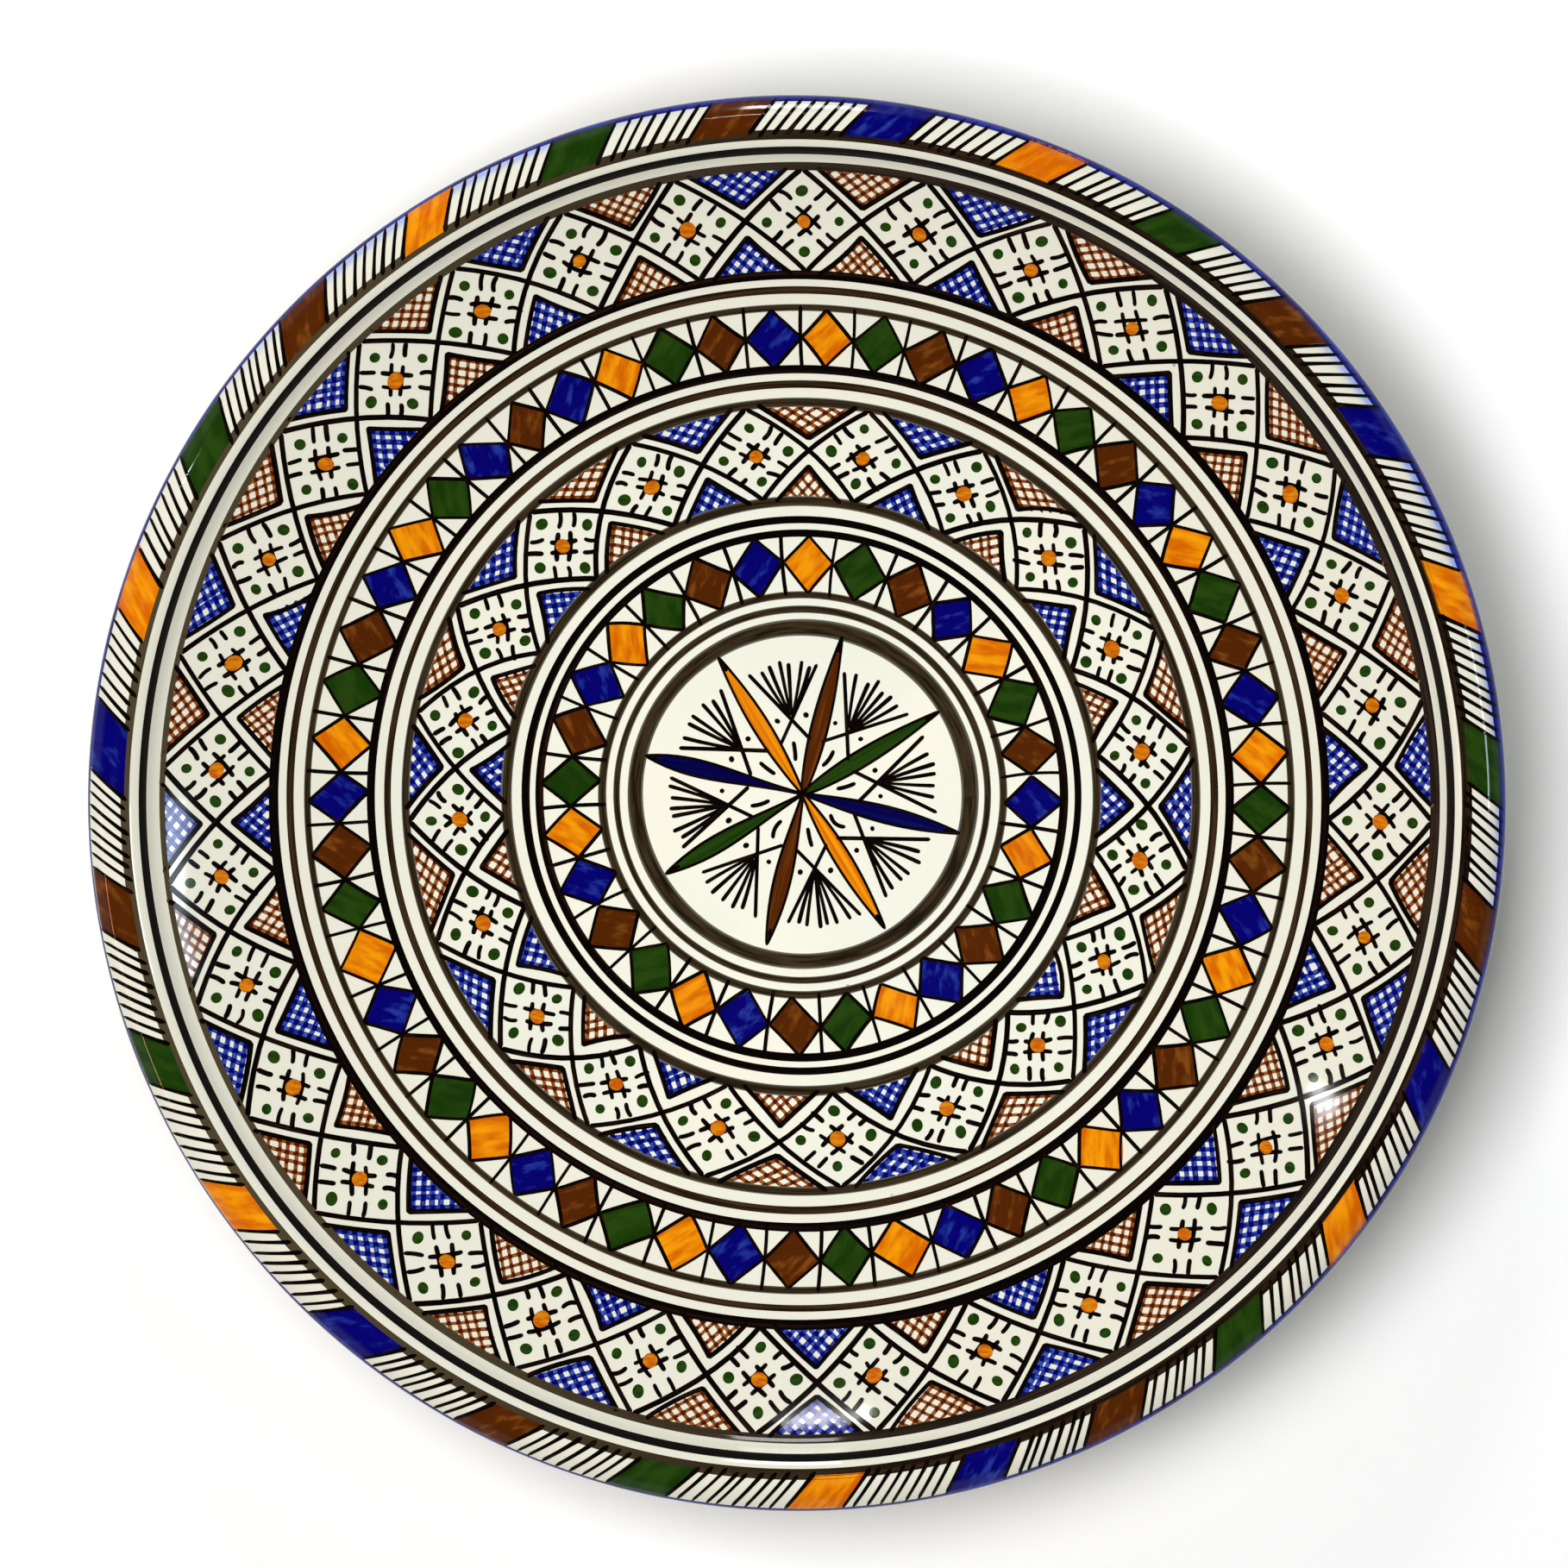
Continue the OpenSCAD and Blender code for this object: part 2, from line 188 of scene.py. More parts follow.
def coat(lift, fine=1.0):
    """The face moved along its normal by lift, from the axis to the end of the crest: a hollow arc loses the lift
    from its radius and a crest arc gains it."""
    floor_end, wall_end, crest_end = (math.degrees(turn) for turn in (FLOOR_TURN, WALL, LIP_TURN))
    return np.concatenate([arc(floor, FLOOR_R - lift, -90, floor_end - 90, int(60 * fine)),
                           arc(corner, CORNER_R - lift, floor_end - 90, wall_end - 90, int(12 * fine))[1:],
                           arc(crest, CREST_R + lift, 90 + wall_end, 90 - crest_end, int(24 * fine))])


def hem(lift, fine=1.0):
    """The lip moved along its normal by lift: the half circle that follows the crest."""
    crest_end = math.degrees(LIP_TURN)
    return arc(lip, LIP_R + lift, 90 - crest_end, -90 - crest_end, int(20 * fine))[1:]


print("points in the section of the face:", len(coat(0)), "and round the lip:", len(hem(0)))

# %% [markdown]
# ## Gloss and brushwork that all coats share
# The kiln leaves the same shallow waves in the glaze and in the paint that melts into it, so a highlight runs on
# over a painted line. A bump in each material would do, but one node group on the plate's own coordinates keeps the
# waves in step. It can add pits, and the faint rings of turning on the back. A second group gives the uneven load of
# a brush: streaks along the stroke and a darker edge.

# %% Small helpers for node trees
def node(tree, kind, inputs=None, **settings):
    """A new node with its settings, and with each socket that inputs names set to a value or linked."""
    made = tree.nodes.new("ShaderNode" + kind)
    for key, value in settings.items():
        setattr(made, key, value)
    for socket, value in (inputs or {}).items():
        if isinstance(value, bpy.types.NodeSocket):
            tree.links.new(value, made.inputs[socket])
        else:
            made.inputs[socket].default_value = value
    return made


def reckon(tree, operation, *values):
    """The result of one Math node."""
    return node(tree, "Math", dict(enumerate(values)), operation=operation).outputs[0]


# %% Colours, masks and node groups
def colour(hex_code):
    """A linear colour from a painter's hex code: each channel c becomes ((c + 0.055) / 1.055) to the power 2.4."""
    c = np.array([int(hex_code[i : i + 2], 16) for i in (1, 3, 5)]) / 255
    linear = np.where(c > 0.04045, ((c + 0.055) / 1.055) ** 2.4, c / 12.92)
    return (*map(float, linear), 1.0)


def mixed(tree, factor, a, b):
    """A mix of two colours, each a socket or a hex code."""
    a, b = (colour(c) if isinstance(c, str) else c for c in (a, b))
    return node(tree, "Mix", data_type="RGBA", inputs={0: factor, 6: a, 7: b}).outputs[2]


def spread(tree, value, low, high, to_low=0.0, to_high=1.0):
    """A value moved from one span to another with soft ends."""
    return node(tree, "MapRange", interpolation_type="SMOOTHSTEP", inputs={
        "Value": value, "From Min": low, "From Max": high, "To Min": to_low, "To Max": to_high}).outputs[0]


def noise(tree, vector, scale, detail=2.0, rough=0.5):
    """Smooth noise from 0 to 1."""
    return node(tree, "TexNoise", inputs={
        "Vector": vector, "Scale": scale, "Detail": detail, "Roughness": rough}).outputs["Fac"]


def shade_group(name, inputs, outputs):
    """An empty node group with named number inputs and outputs, and its two end nodes."""
    tree = bpy.data.node_groups.new(name, "ShaderNodeTree")
    for socket, default in inputs.items():
        tree.interface.new_socket(socket, in_out="INPUT", socket_type="NodeSocketFloat").default_value = default
    for socket in outputs:
        tree.interface.new_socket(socket, in_out="OUTPUT", socket_type="NodeSocketFloat")
    return tree, tree.nodes.new("NodeGroupInput").outputs, tree.nodes.new("NodeGroupOutput").inputs


print(f"the middle grey #808080 has the linear value {colour('#808080')[0]:.3f}")

# %% Kiln waves
waves, wave_in, wave_out = shade_group("kiln_waves", {"Pits": 0.0, "Rings": 0.0}, ["Height"])
place = node(waves, "TexCoord").outputs["Object"]
swell = noise(waves, place, 28.0, 1.0)
peel = noise(waves, place, 420.0, 2.0)
pit = node(waves, "TexVoronoi", inputs={"Vector": place, "Scale": 90.0}).outputs["Distance"]
pit = spread(waves, pit, 0.0, 0.05, 1.0, 0.0)
level = reckon(waves, "MULTIPLY_ADD", peel, 0.03, swell)
pit = reckon(waves, "MULTIPLY", pit, wave_in["Pits"])
level = reckon(waves, "SUBTRACT", level, pit)
far = node(waves, "VectorMath", operation="LENGTH", inputs={0: place}).outputs["Value"]
ridge = reckon(waves, "MULTIPLY_ADD", far, 900.0, swell)
ridge = reckon(waves, "SINE", ridge)
level = reckon(waves, "MULTIPLY_ADD", ridge, wave_in["Rings"], level)
waves.links.new(level, wave_out["Height"])
print(waves.name, "has", len(waves.nodes), "nodes")

# %% Brush load
brush_load, load_in, load_out = shade_group(
    "brush_load", {"Along": 1.5, "Across": 9.0, "Low": 0.35, "High": 0.65}, ["Load", "Edge", "Along"])
uv = node(brush_load, "UVMap", uv_map="brush").outputs["UV"]
axes = node(brush_load, "SeparateXYZ", inputs={"Vector": uv}).outputs
stroke_tint = node(brush_load, "Attribute", attribute_name="tint").outputs["Fac"]
shift = reckon(brush_load, "MULTIPLY", stroke_tint, 61.0)
long_way = reckon(brush_load, "MULTIPLY", axes[0], load_in["Along"])
cross_way = reckon(brush_load, "MULTIPLY", axes[1], load_in["Across"])
spot = node(brush_load, "CombineXYZ", inputs={"X": long_way, "Y": cross_way, "Z": shift}).outputs[0]
load = spread(brush_load, noise(brush_load, spot, 1.0, 2.0, 0.55), load_in["Low"], load_in["High"])
middle = reckon(brush_load, "SUBTRACT", axes[1], 0.5)
middle = reckon(brush_load, "ABSOLUTE", middle)
brush_load.links.new(load, load_out["Load"])
brush_load.links.new(spread(brush_load, middle, 0.3, 0.5), load_out["Edge"])
brush_load.links.new(axes[0], load_out["Along"])
print(brush_load.name, "has", len(brush_load.nodes), "nodes")


# %% A glossy material to start from
GLAZE_IOR, WAVE_STRENGTH = 1.52, 0.1
print("refractive index of glaze and paint:", GLAZE_IOR)


def blank_material(name):
    """A new material, its node tree and its Principled shader."""
    material = bpy.data.materials.new(name)
    material.use_nodes = True
    return material, material.node_tree, material.node_tree.nodes["Principled BSDF"]


def kiln_gloss(name, rough, pits=0.0, rings=0.0):
    """A Principled material with the kiln's waves in its normal, and with pits and turning rings where they are asked
    for. Returns the material, its tree and its shader."""
    material, tree, shader = blank_material(name)
    shader.inputs["Roughness"].default_value = rough
    shader.inputs["IOR"].default_value = GLAZE_IOR
    level = node(tree, "Group", node_tree=waves, inputs={"Pits": pits, "Rings": rings}).outputs["Height"]
    bump = node(tree, "Bump", inputs={"Height": level, "Strength": WAVE_STRENGTH, "Distance": MM})
    tree.links.new(bump.outputs["Normal"], shader.inputs["Normal"])
    return material, tree, shader


# %% [markdown]
# ## The glaze
# The off-white glaze is creamy and a little green, with faint clouds and a few specks where the clay shows. At two
# places some cobalt of the lip has run inwards. Clouds, specks and runs are mixed in the material, and the skin itself
# is the section spun round the axis, closed over the clay.

# %% The glaze material
GLAZE_WHITE = "#EFEDDB"


def glazed(name, warm, cool, rings=0.0):
    """Cream with cool clouds, with painted light that leaves it whitest in the middle and greyer towards the rim,
    with small specks, and with cobalt where the attribute called tint says that it has run."""
    material, tree, shader = kiln_gloss(name, 0.045, 0.02, rings)
    place = node(tree, "TexCoord").outputs["Object"]
    base = mixed(tree, spread(tree, noise(tree, place, 22.0, 4.0), 0.35, 0.65), warm, cool)
    far = node(tree, "VectorMath", operation="LENGTH", inputs={0: place}).outputs["Value"]
    # Painted light: the glaze turns greyer from 50 mm out to 190 mm, for light that falls off from the middle.
    base = mixed(tree, spread(tree, far, 0.05, 0.19), base, "#DEDCCB")
    grain = node(tree, "TexVoronoi", inputs={"Vector": place, "Scale": 75.0}).outputs
    speck = spread(tree, grain["Distance"], 0.02, 0.05, 0.65, 0.0)
    chosen = node(tree, "SeparateXYZ", inputs={"Vector": grain["Color"]}).outputs[0]
    rare = reckon(tree, "GREATER_THAN", chosen, 0.93)
    speck = reckon(tree, "MULTIPLY", speck, rare)
    base = mixed(tree, speck, base, "#7A6A52")
    run = node(tree, "Attribute", attribute_name="tint").outputs["Fac"]
    cloud = spread(tree, noise(tree, place, 160.0, 3.0), 0.3, 0.7, 0.7, 1.0)
    run = reckon(tree, "MULTIPLY", run, cloud)
    tree.links.new(mixed(tree, run, base, "#6E93E8"), shader.inputs["Base Color"])
    return material


face_white = glazed("face_glaze", GLAZE_WHITE, "#E8E9DA")
back_white = glazed("back_glaze", "#EFEBDA", "#E2E2D2", 0.07)
print("glazes:", face_white.name, "and", back_white.name)

# %% The glazed face, from the middle round the lip
UPPER_SIDE, RUN_R, RUN_WIDE = 55.0, 198.4, 1.2
COARSE, FACE_STEPS = 0.34, 560


def bell(x, middle, width, power=2):
    """A bell curve: e to the power of minus the distance from the middle over the width, raised to a power."""
    return np.exp(-(((x - middle) / width) ** power))


outside = np.concatenate([coat(0), hem(0)])
inside = np.concatenate([coat(-GLAZE, COARSE), hem(-GLAZE, COARSE)])
skin = spun(np.concatenate([outside, inside[::-1]]), FACE_STEPS)
skin_x, skin_y, skin_z = skin["verts"].T
skin_r, skin_a = np.hypot(skin_x, skin_y), np.degrees(np.arctan2(skin_y, skin_x))
runs = bell(skin_a, 18, 27, 4) + 0.7 * bell(skin_a, 121, 19, 4)
run_r = RUN_R - 0.8 * bell(skin_a, 33, 16)
skin["tint"] = bell(skin_r, run_r, RUN_WIDE) * runs * (skin_z > UPPER_SIDE)
piece("face_glaze_skin", skin, face_white, "glaze", "face_glaze")

# %% [markdown]
# ## The back
# The underside is glazed too, apart from the foot ring on which the plate stood in the kiln. The two glazed zones
# and the bare foot are spun sections. The foot has two holes for a wire, cut with a Boolean that is then applied.

# %% Back glaze on both sides of the foot
FOOT_IN, FOOT_OUT = 78.0, 88.0
CUT_GAP, BACK_STEPS = 0.2, 480


def back_zone(inner=-1.0, outer=2 * RIM):
    """The part of the back glaze between two radii: the face carried back by clay and two glazes, closed over the
    clay side. An end that lies between the axis and the rim is cut at its radius."""

    def part(line):
        """The stretch of a line that lies between both radii, with a new point at each end that is cut."""
        inside = line[(line[:, 0] > inner + CUT_GAP) & (line[:, 0] < outer - CUT_GAP)]
        first, last = ([[r, np.interp(r, *line.T)]] if 0 < r < RIM else line[:0] for r in (inner, outer))
        return np.concatenate([first, inside, last])

    return spun(np.concatenate([part(coat(-CLAY - GLAZE)), part(coat(-CLAY - 2 * GLAZE))[::-1]]), BACK_STEPS)


back_skin = join(back_zone(outer=FOOT_IN), back_zone(inner=FOOT_OUT))
piece("back_glaze_skin", back_skin, back_white, "back_glaze", "back_glaze")

# %% The clay of dish and foot
def fired_clay(name, dark, light, wear):
    """Bare red earthenware: cloudy, gritty and dull, with lighter grains and turning lines in its bump."""
    material, tree, shader = blank_material(name)
    place = node(tree, "TexCoord").outputs["Object"]
    cloud = noise(tree, place, 60.0, 5.0, 0.6)
    grit = noise(tree, place, 1400.0, 2.0)
    base = mixed(tree, spread(tree, cloud, 0.3, 0.7), dark, light)
    base = mixed(tree, spread(tree, grit, 0.62, 0.72, 0.0, 0.55), base, wear)
    tree.links.new(base, shader.inputs["Base Color"])
    tree.links.new(spread(tree, cloud, 0.3, 0.7, 0.72, 0.9), shader.inputs["Roughness"])
    lines = node(tree, "TexWave", wave_type="BANDS", bands_direction="Z",
                 inputs={"Vector": place, "Scale": 260.0, "Distortion": 1.5}).outputs["Fac"]
    level = reckon(tree, "MULTIPLY_ADD", grit, 0.6, lines)
    bump = node(tree, "Bump", inputs={"Height": level, "Strength": 0.25, "Distance": 0.0004})
    tree.links.new(bump.outputs["Normal"], shader.inputs["Normal"])
    return material


foot_clay = fired_clay("foot_clay", "#9A5638", "#B97450", "#D9A882")
dish_clay = fired_clay("dish_clay", "#8E4A2E", "#AB6644", "#CF9A74")
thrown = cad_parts["thrown_dish"].data
thrown.materials.clear()
thrown.materials.append(dish_clay)
print("clays:", foot_clay.name, "and", dish_clay.name)

# %% The foot ring
ROUND, FOOT_STEPS = 2.0, 240
under = coat(-CLAY - GLAZE)
seat_r = np.linspace(FOOT_OUT, FOOT_IN, 6)
seat = np.stack([seat_r, np.interp(seat_r, *under.T)], -1)
side_z = np.linspace(0, 1, 9)[1:-1, None]
inner_side = seat[-1] + side_z * (np.array([FOOT_IN, ROUND]) - seat[-1])
outer_side = np.array([FOOT_OUT, ROUND]) + side_z * (seat[0] - [FOOT_OUT, ROUND])
foot_section = np.concatenate([seat, inner_side, arc([FOOT_IN + ROUND, ROUND], ROUND, 180, 270, 6),
                               arc([FOOT_OUT - ROUND, ROUND], ROUND, 270, 360, 6), outer_side])
foot = piece("foot_ring_clay", spun(foot_section, FOOT_STEPS), foot_clay, "bare_clay", "foot_ring")


# %% Two holes through the foot
HOLE_R, HOLE_Z, HOLE_TURNS = 2.0, 8.0, (78, 102)
DRILL_LONG, DRILL_STEPS = 24, 40


def rod(centre, axis, radius, length):
    """A closed rod along a level axis: a spun section whose x, y and z become the side, the height and the axis."""
    half = length / 2
    batch = spun(np.array([[0, half], [radius, half], [radius, -half], [0, -half]]), DRILL_STEPS)
    batch["verts"] = centre + batch["verts"] @ np.stack([np.cross([0, 0, 1], axis), [0, 0, 1], axis])
    return batch


for hole_turn in HOLE_TURNS:
    out = np.array([math.cos(math.radians(hole_turn)), math.sin(math.radians(hole_turn)), 0])
    middle_of_wall = out * (FOOT_IN + FOOT_OUT) / 2 + [0, 0, HOLE_Z]
    drill = piece(f"drill_{hole_turn}", rod(middle_of_wall, out, HOLE_R, DRILL_LONG), foot_clay, "bare_clay")
    cut = foot.modifiers.new("hole", "BOOLEAN")
    cut.object, cut.solver = drill, "EXACT"
    bored = bpy.data.meshes.new_from_object(foot.evaluated_get(bpy.context.evaluated_depsgraph_get()))
    foot.modifiers.clear()
    foot.data = bored
    bpy.data.objects.remove(drill)
print("foot ring with two holes:", len(foot.data.polygons), "faces")

# %% [markdown]
# ## Brush strokes as closed slabs
# A stroke of paint has a width, a soft outline and almost no thickness. It could be a curve with a bevel, or a
# texture. Here it is a grid of plan points that is laid on the face, a few hundredths of a millimetre proud, and
# closed by a second grid just under the glaze. One formula then serves lines, dots, lozenges, petals and rings.

# %% Slabs
# How far each coat stands proud of the glaze, in millimetres: what was painted later lies higher. The underside of a
# stroke lies SUNK under the glaze, and neighbours of one kind differ by STAGGER, so that crossings stay clean.
CHECK_UP, FILL_UP, BLOCK_UP, WASH_UP, RING_UP, TIP_UP, EDGE_UP = 0.03, 0.055, 0.06, 0.062, 0.07, 0.075, 0.08
LATTICE_UP, SPRAY_UP, BAR_UP, STROKE_UP, HATCH_UP, EYE_UP = 0.085, 0.09, 0.095, 0.1, 0.11, 0.125
SUNK, STAGGER = 0.08, 0.003


def slab_faces(n, k, loop):
    """Quads of one slab: the upper grid, the lower grid turned over, and the walls between their edges."""
    top = np.arange(n * k).reshape(n, k)
    if loop:
        top = np.concatenate([top, top[:1]])
    low = top + n * k
    walls = [np.stack([low[:, 0], top[:, 0]]).T, np.stack([top[:, -1], low[:, -1]]).T]
    if not loop:
        walls += [np.stack([top[0], low[0]]).T, np.stack([low[-1], top[-1]]).T]
    return np.concatenate([quads(top), quads(low)[:, ::-1]] + [quads(w) for w in walls])


def slabs(plan, lift, u=None, loop=False):
    """Closed slabs from plan grids with the shape (strokes, n, k, 2). A grid that runs clockwise is turned over, the
    upper points rise by lift and the lower ones sink under the glaze."""
    s, n, k, _ = plan.shape
    a, b = plan[:, n // 2, 0] - plan[:, n // 2 - 1, 0], plan[:, n // 2, -1] - plan[:, n // 2, 0]
    clockwise = a[:, 0] * b[:, 1] - a[:, 1] * b[:, 0] < 0
    plan = np.where(clockwise[:, None, None, None], plan[:, :, ::-1], plan)
    lifts = (lift + STAGGER * (np.arange(s) % 5))[:, None, None, None]
    verts = np.stack([lay(plan, lifts), lay(plan, -SUNK)], 1).reshape(-1, 3)
    faces = slab_faces(n, k, loop)[None] + (np.arange(s) * 2 * n * k)[:, None, None]
    u = np.broadcast_to(np.linspace(0, 1, n) if u is None else u, (s, n))
    uv = np.stack([np.repeat(u[:, :, None], k, 2), np.broadcast_to(np.linspace(0, 1, k), (s, n, k))], -1)
    return {"verts": verts, "faces": [faces.reshape(-1, 4)], "uv": np.stack([uv, uv], 1).reshape(-1, 2),
            "tint": np.repeat(hand.random(s), 2 * n * k)}


print("faces of a slab with 9 points along it and 2 across:", len(slab_faces(9, 2, False)))

# %% Strokes along lines
BLUNT = 0.3


def brush(path, width, lift, uneven=None, u=None):
    """Strokes along centre lines with the shape (strokes, n, 2): half the width goes to each side, and the ends are
    rounded like half circles, the width falling to root(1 - (1 - d)^2) at d half-widths from the end, but to no less
    than the share BLUNT. Where uneven gives two numbers, each stroke's width is first multiplied by a random one
    between them."""
    if uneven:
        width = width * hand.uniform(*uneven, (len(path), 1))
    ahead = np.gradient(path, axis=1)
    left = np.stack([-ahead[..., 1], ahead[..., 0]], -1)
    left /= np.linalg.norm(left, axis=-1, keepdims=True)
    step = np.linalg.norm(np.diff(path, axis=1), axis=2)
    at = np.concatenate([np.zeros((len(path), 1)), np.cumsum(step, 1)], 1)
    width = np.broadcast_to(width, at.shape)
    near = np.clip(np.minimum(at, at[:, -1:] - at) / (width / 2), 0, 1)
    width = width * np.maximum(np.sqrt(1 - (1 - near) ** 2), BLUNT)
    side = left[:, :, None] * width[..., None, None] * np.array([-0.5, 0.5])[:, None]
    return slabs(path[:, :, None] + side, lift, u)


def along(n):
    """Shares of a stroke's length from 0 to 1, closer together at its ends."""
    return 0.5 - 0.5 * np.cos(np.pi * np.linspace(0, 1, n))


def through(a, b, c, n):
    """Points on the parabola that runs from a through b to c."""
    t = along(n)[:, None]
    a, b, c = (p[..., None, :] for p in (a, b, c))
    return a * (1 - 2 * t) * (1 - t) + 4 * b * t * (1 - t) + c * t * (2 * t - 1)


def drawn(a, c, n, bend=0.0):
    """Points on a slightly bent line from a to c: its middle moves sideways by bend times a random share."""
    d = c - a
    side = np.stack([-d[..., 1], d[..., 0]], -1) / np.maximum(np.linalg.norm(d, axis=-1, keepdims=True), 1e-9)
    return through(a, (a + c) / 2 + side * bend * hand.normal(size=d.shape[:-1])[..., None], c, n)


def polar(r, degrees):
    """Plan points from radius and angle."""
    a = np.radians(degrees)
    return np.stack(np.broadcast_arrays(r * np.cos(a), r * np.sin(a)), -1)


def shaky(points, by):
    """The same points, each moved a little, as by a hand."""
    return points + hand.normal(size=points.shape) * by


print("five places along a stroke:", along(5).round(2))

# %% Patches and dots
def corner_shares(p, q):
    """How much each of four corners counts at p and q, which run from -1 to 1 along the sides."""
    return np.stack([(1 - p) * (1 - q), (1 + p) * (1 - q), (1 + p) * (1 + q), (1 - p) * (1 + q)], -1) / 4


def patch(corners, n, k, lift, bulge):
    """A four-cornered patch: the bilinear blend of its corners in order round it, with each point moved out from the
    middle by bulge times 1 - (p q)^2, so that the corners stay and the sides swell."""
    p, q = np.meshgrid(np.linspace(-1, 1, n), np.linspace(-1, 1, k), indexing="ij")
    swell = 1 + bulge * (1 - (p * q) ** 2)
    centre = corners.mean(1)[:, None, None]
    blend = np.einsum("nkc,scx->snkx", corner_shares(p, q), corners)
    return slabs(centre + (blend - centre) * swell[None, :, :, None], lift)


def dots(centre, radius, lift, n=6):
    """Round dabs: a square grid p, q bent to a disc by x = p root(1 - q^2 / 2) and y = q root(1 - p^2 / 2), then
    stretched a little in a random direction."""
    p, q = np.meshgrid(np.linspace(-1, 1, n), np.linspace(-1, 1, n), indexing="ij")
    disc = np.stack([p * np.sqrt(1 - q * q / 2), q * np.sqrt(1 - p * p / 2)], -1)
    turn = hand.uniform(0, np.pi, len(centre))
    pull = hand.uniform(0.0, 0.22, len(centre))
    way = np.stack([np.cos(turn), np.sin(turn)], -1)[:, None, None]
    stretch = disc[None] + way * (disc[None] * way).sum(-1, keepdims=True) * pull[:, None, None, None]
    return slabs(centre[:, None, None] + stretch * radius[:, None, None, None], lift)


print("shares of the four corners at the middle of a patch:", corner_shares(0.0, 0.0))

# %% [markdown]
# ## Paints
# Cobalt, orange, green and brown are brushed on as thick washes that show streaks: lighter where the brush was dry,
# darker where paint stood at the edge. Black is a fine line that turns brown where it is thin, and the thin wash
# lets some white through at its edges. One function makes them all from three colours, with the brush group as its
# mask. Crossed strokes have a function of their own, because they are darker where they cross.

# %% Paint with the streaks of a brush
def brushed(tree, *streaks):
    """The outputs of the brush group: streaks have a pace along and across the stroke and, where it isn't the usual
    one, a span of noise in which paint turns thin."""
    values = dict(zip(("Along", "Across", "Low", "High"), streaks))
    return node(tree, "Group", node_tree=brush_load, inputs=values).outputs


def painted(name, full, thin, edge, streaks, edge_share=0.5, rough=0.06):
    """Paint between a full and a thin colour by the brush's load, with a share of a third along the stroke's edges."""
    material, tree, shader = kiln_gloss(name, rough)
    load = brushed(tree, *streaks)
    base = mixed(tree, load["Load"], full, thin)
    shade = reckon(tree, "MULTIPLY", load["Edge"], edge_share)
    tree.links.new(mixed(tree, shade, base, edge), shader.inputs["Base Color"])
    return material


# %% Paints for fills and lines
cobalt = painted("cobalt", "#030067", "#223494", "#02004E", (1.8, 4.5, 0.5, 0.74))
petal_blue = painted("petal_blue", "#010040", "#070B5C", "#01002A", (1.8, 4.5, 0.5, 0.74))
orange = painted("orange", "#CC5F00", "#EC9608", "#C25200", (1.3, 4.5, 0.3, 0.7))
eye_orange = painted("eye_orange", "#B85309", "#D4840E", "#9A4005", (1.3, 4.5, 0.3, 0.7))
green = painted("green", "#153304", "#24410C", "#0F2A01", (1.2, 3.5))
brown = painted("brown", "#4E2102", "#784211", "#401901", (1.8, 4.5, 0.48, 0.74))
black = painted("line_black", "#070403", "#22120B", "#070403", (3.0, 1.5, 0.5, 0.75), 0.3)
dark = painted("line_dark", "#1E130A", "#3C2A1A", "#150C06", (30.0, 3.0), 0.3)
wall_wash = painted("wall_wash", "#130C06", "#2E2014", "#0E0804", (30.0, 3.0), 0.3)
lip_blue = painted("lip_blue", "#080B5E", "#1A2892", "#05074A", (60.0, 1.2), 0.4)
wash = painted("brown_wash", "#1D150A", "#3A2E1D", GLAZE_WHITE, (26.0, 5.0), 0.14, 0.08)
LINE_GLOSS = 0.18
line_paints = (black, dark, wall_wash, lip_blue, wash)
for paint in line_paints:
    paint.node_tree.nodes["Principled BSDF"].inputs["Specular IOR Level"].default_value = LINE_GLOSS
print("paints for fills:", [paint.name for paint in (cobalt, petal_blue, orange, eye_orange, green, brown)])
print("paints for lines:", [paint.name for paint in line_paints])

# %% A paint that turns paler to the left
FULL_COLOUR_X, PALE_COLOUR_X = 0.06, -0.16


def paler_to_left(material, thin):
    """Let a paint turn to a paler colour towards the left, from x = 60 mm to x = -160 mm."""
    tree, base = material.node_tree, material.node_tree.nodes["Principled BSDF"].inputs["Base Color"]
    place = node(tree, "TexCoord").outputs["Object"]
    x = node(tree, "SeparateXYZ", inputs={0: place}).outputs["X"]
    tree.links.new(mixed(tree, spread(tree, x, FULL_COLOUR_X, PALE_COLOUR_X), base.links[0].from_socket, thin), base)


# The wall wash is drawn paler towards the left, from x = 60 mm to x = -160 mm.
paler_to_left(wall_wash, "#483E2B")
print(f"{wall_wash.name} runs dry from x = {FULL_COLOUR_X} m to x = {PALE_COLOUR_X} m")


# %% Check paints
def checked(name, single, crossed):
    """Thin paint that is darker where two strokes cross: the UV counts the strokes of the other family, so a crossing
    is where its fraction is near nought."""
    material, tree, shader = kiln_gloss(name, 0.08)
    load = brushed(tree, 1.3, 2.0)
    count = reckon(tree, "PINGPONG", load["Along"], 0.5)
    cross = spread(tree, count, 0.2, 0.32, 1.0, 0.0)
    light = mixed(tree, load["Load"], *single)
    tree.links.new(mixed(tree, cross, light, crossed), shader.inputs["Base Color"])
    return material


check_blue = checked("check_blue", ("#112184", "#3E55AE"), "#01045A")
check_brown = checked("check_brown", ("#803D0E", "#985A26"), "#481601")
print("check paints:", check_blue.name, "and", check_brown.name)

# %% [markdown]
# ## Rings
# The painter sets the plate on a banding wheel and holds the brush still, so rings are almost true. Each ring is a
# slab that closes on itself, and its radius and width waver by slow sines. On the wall the rings are drawn narrower
# and paler to the left.

# %% Rings drawn on the wheel
RING_WAVER, WIDTH_WAVER = 0.09, 0.07


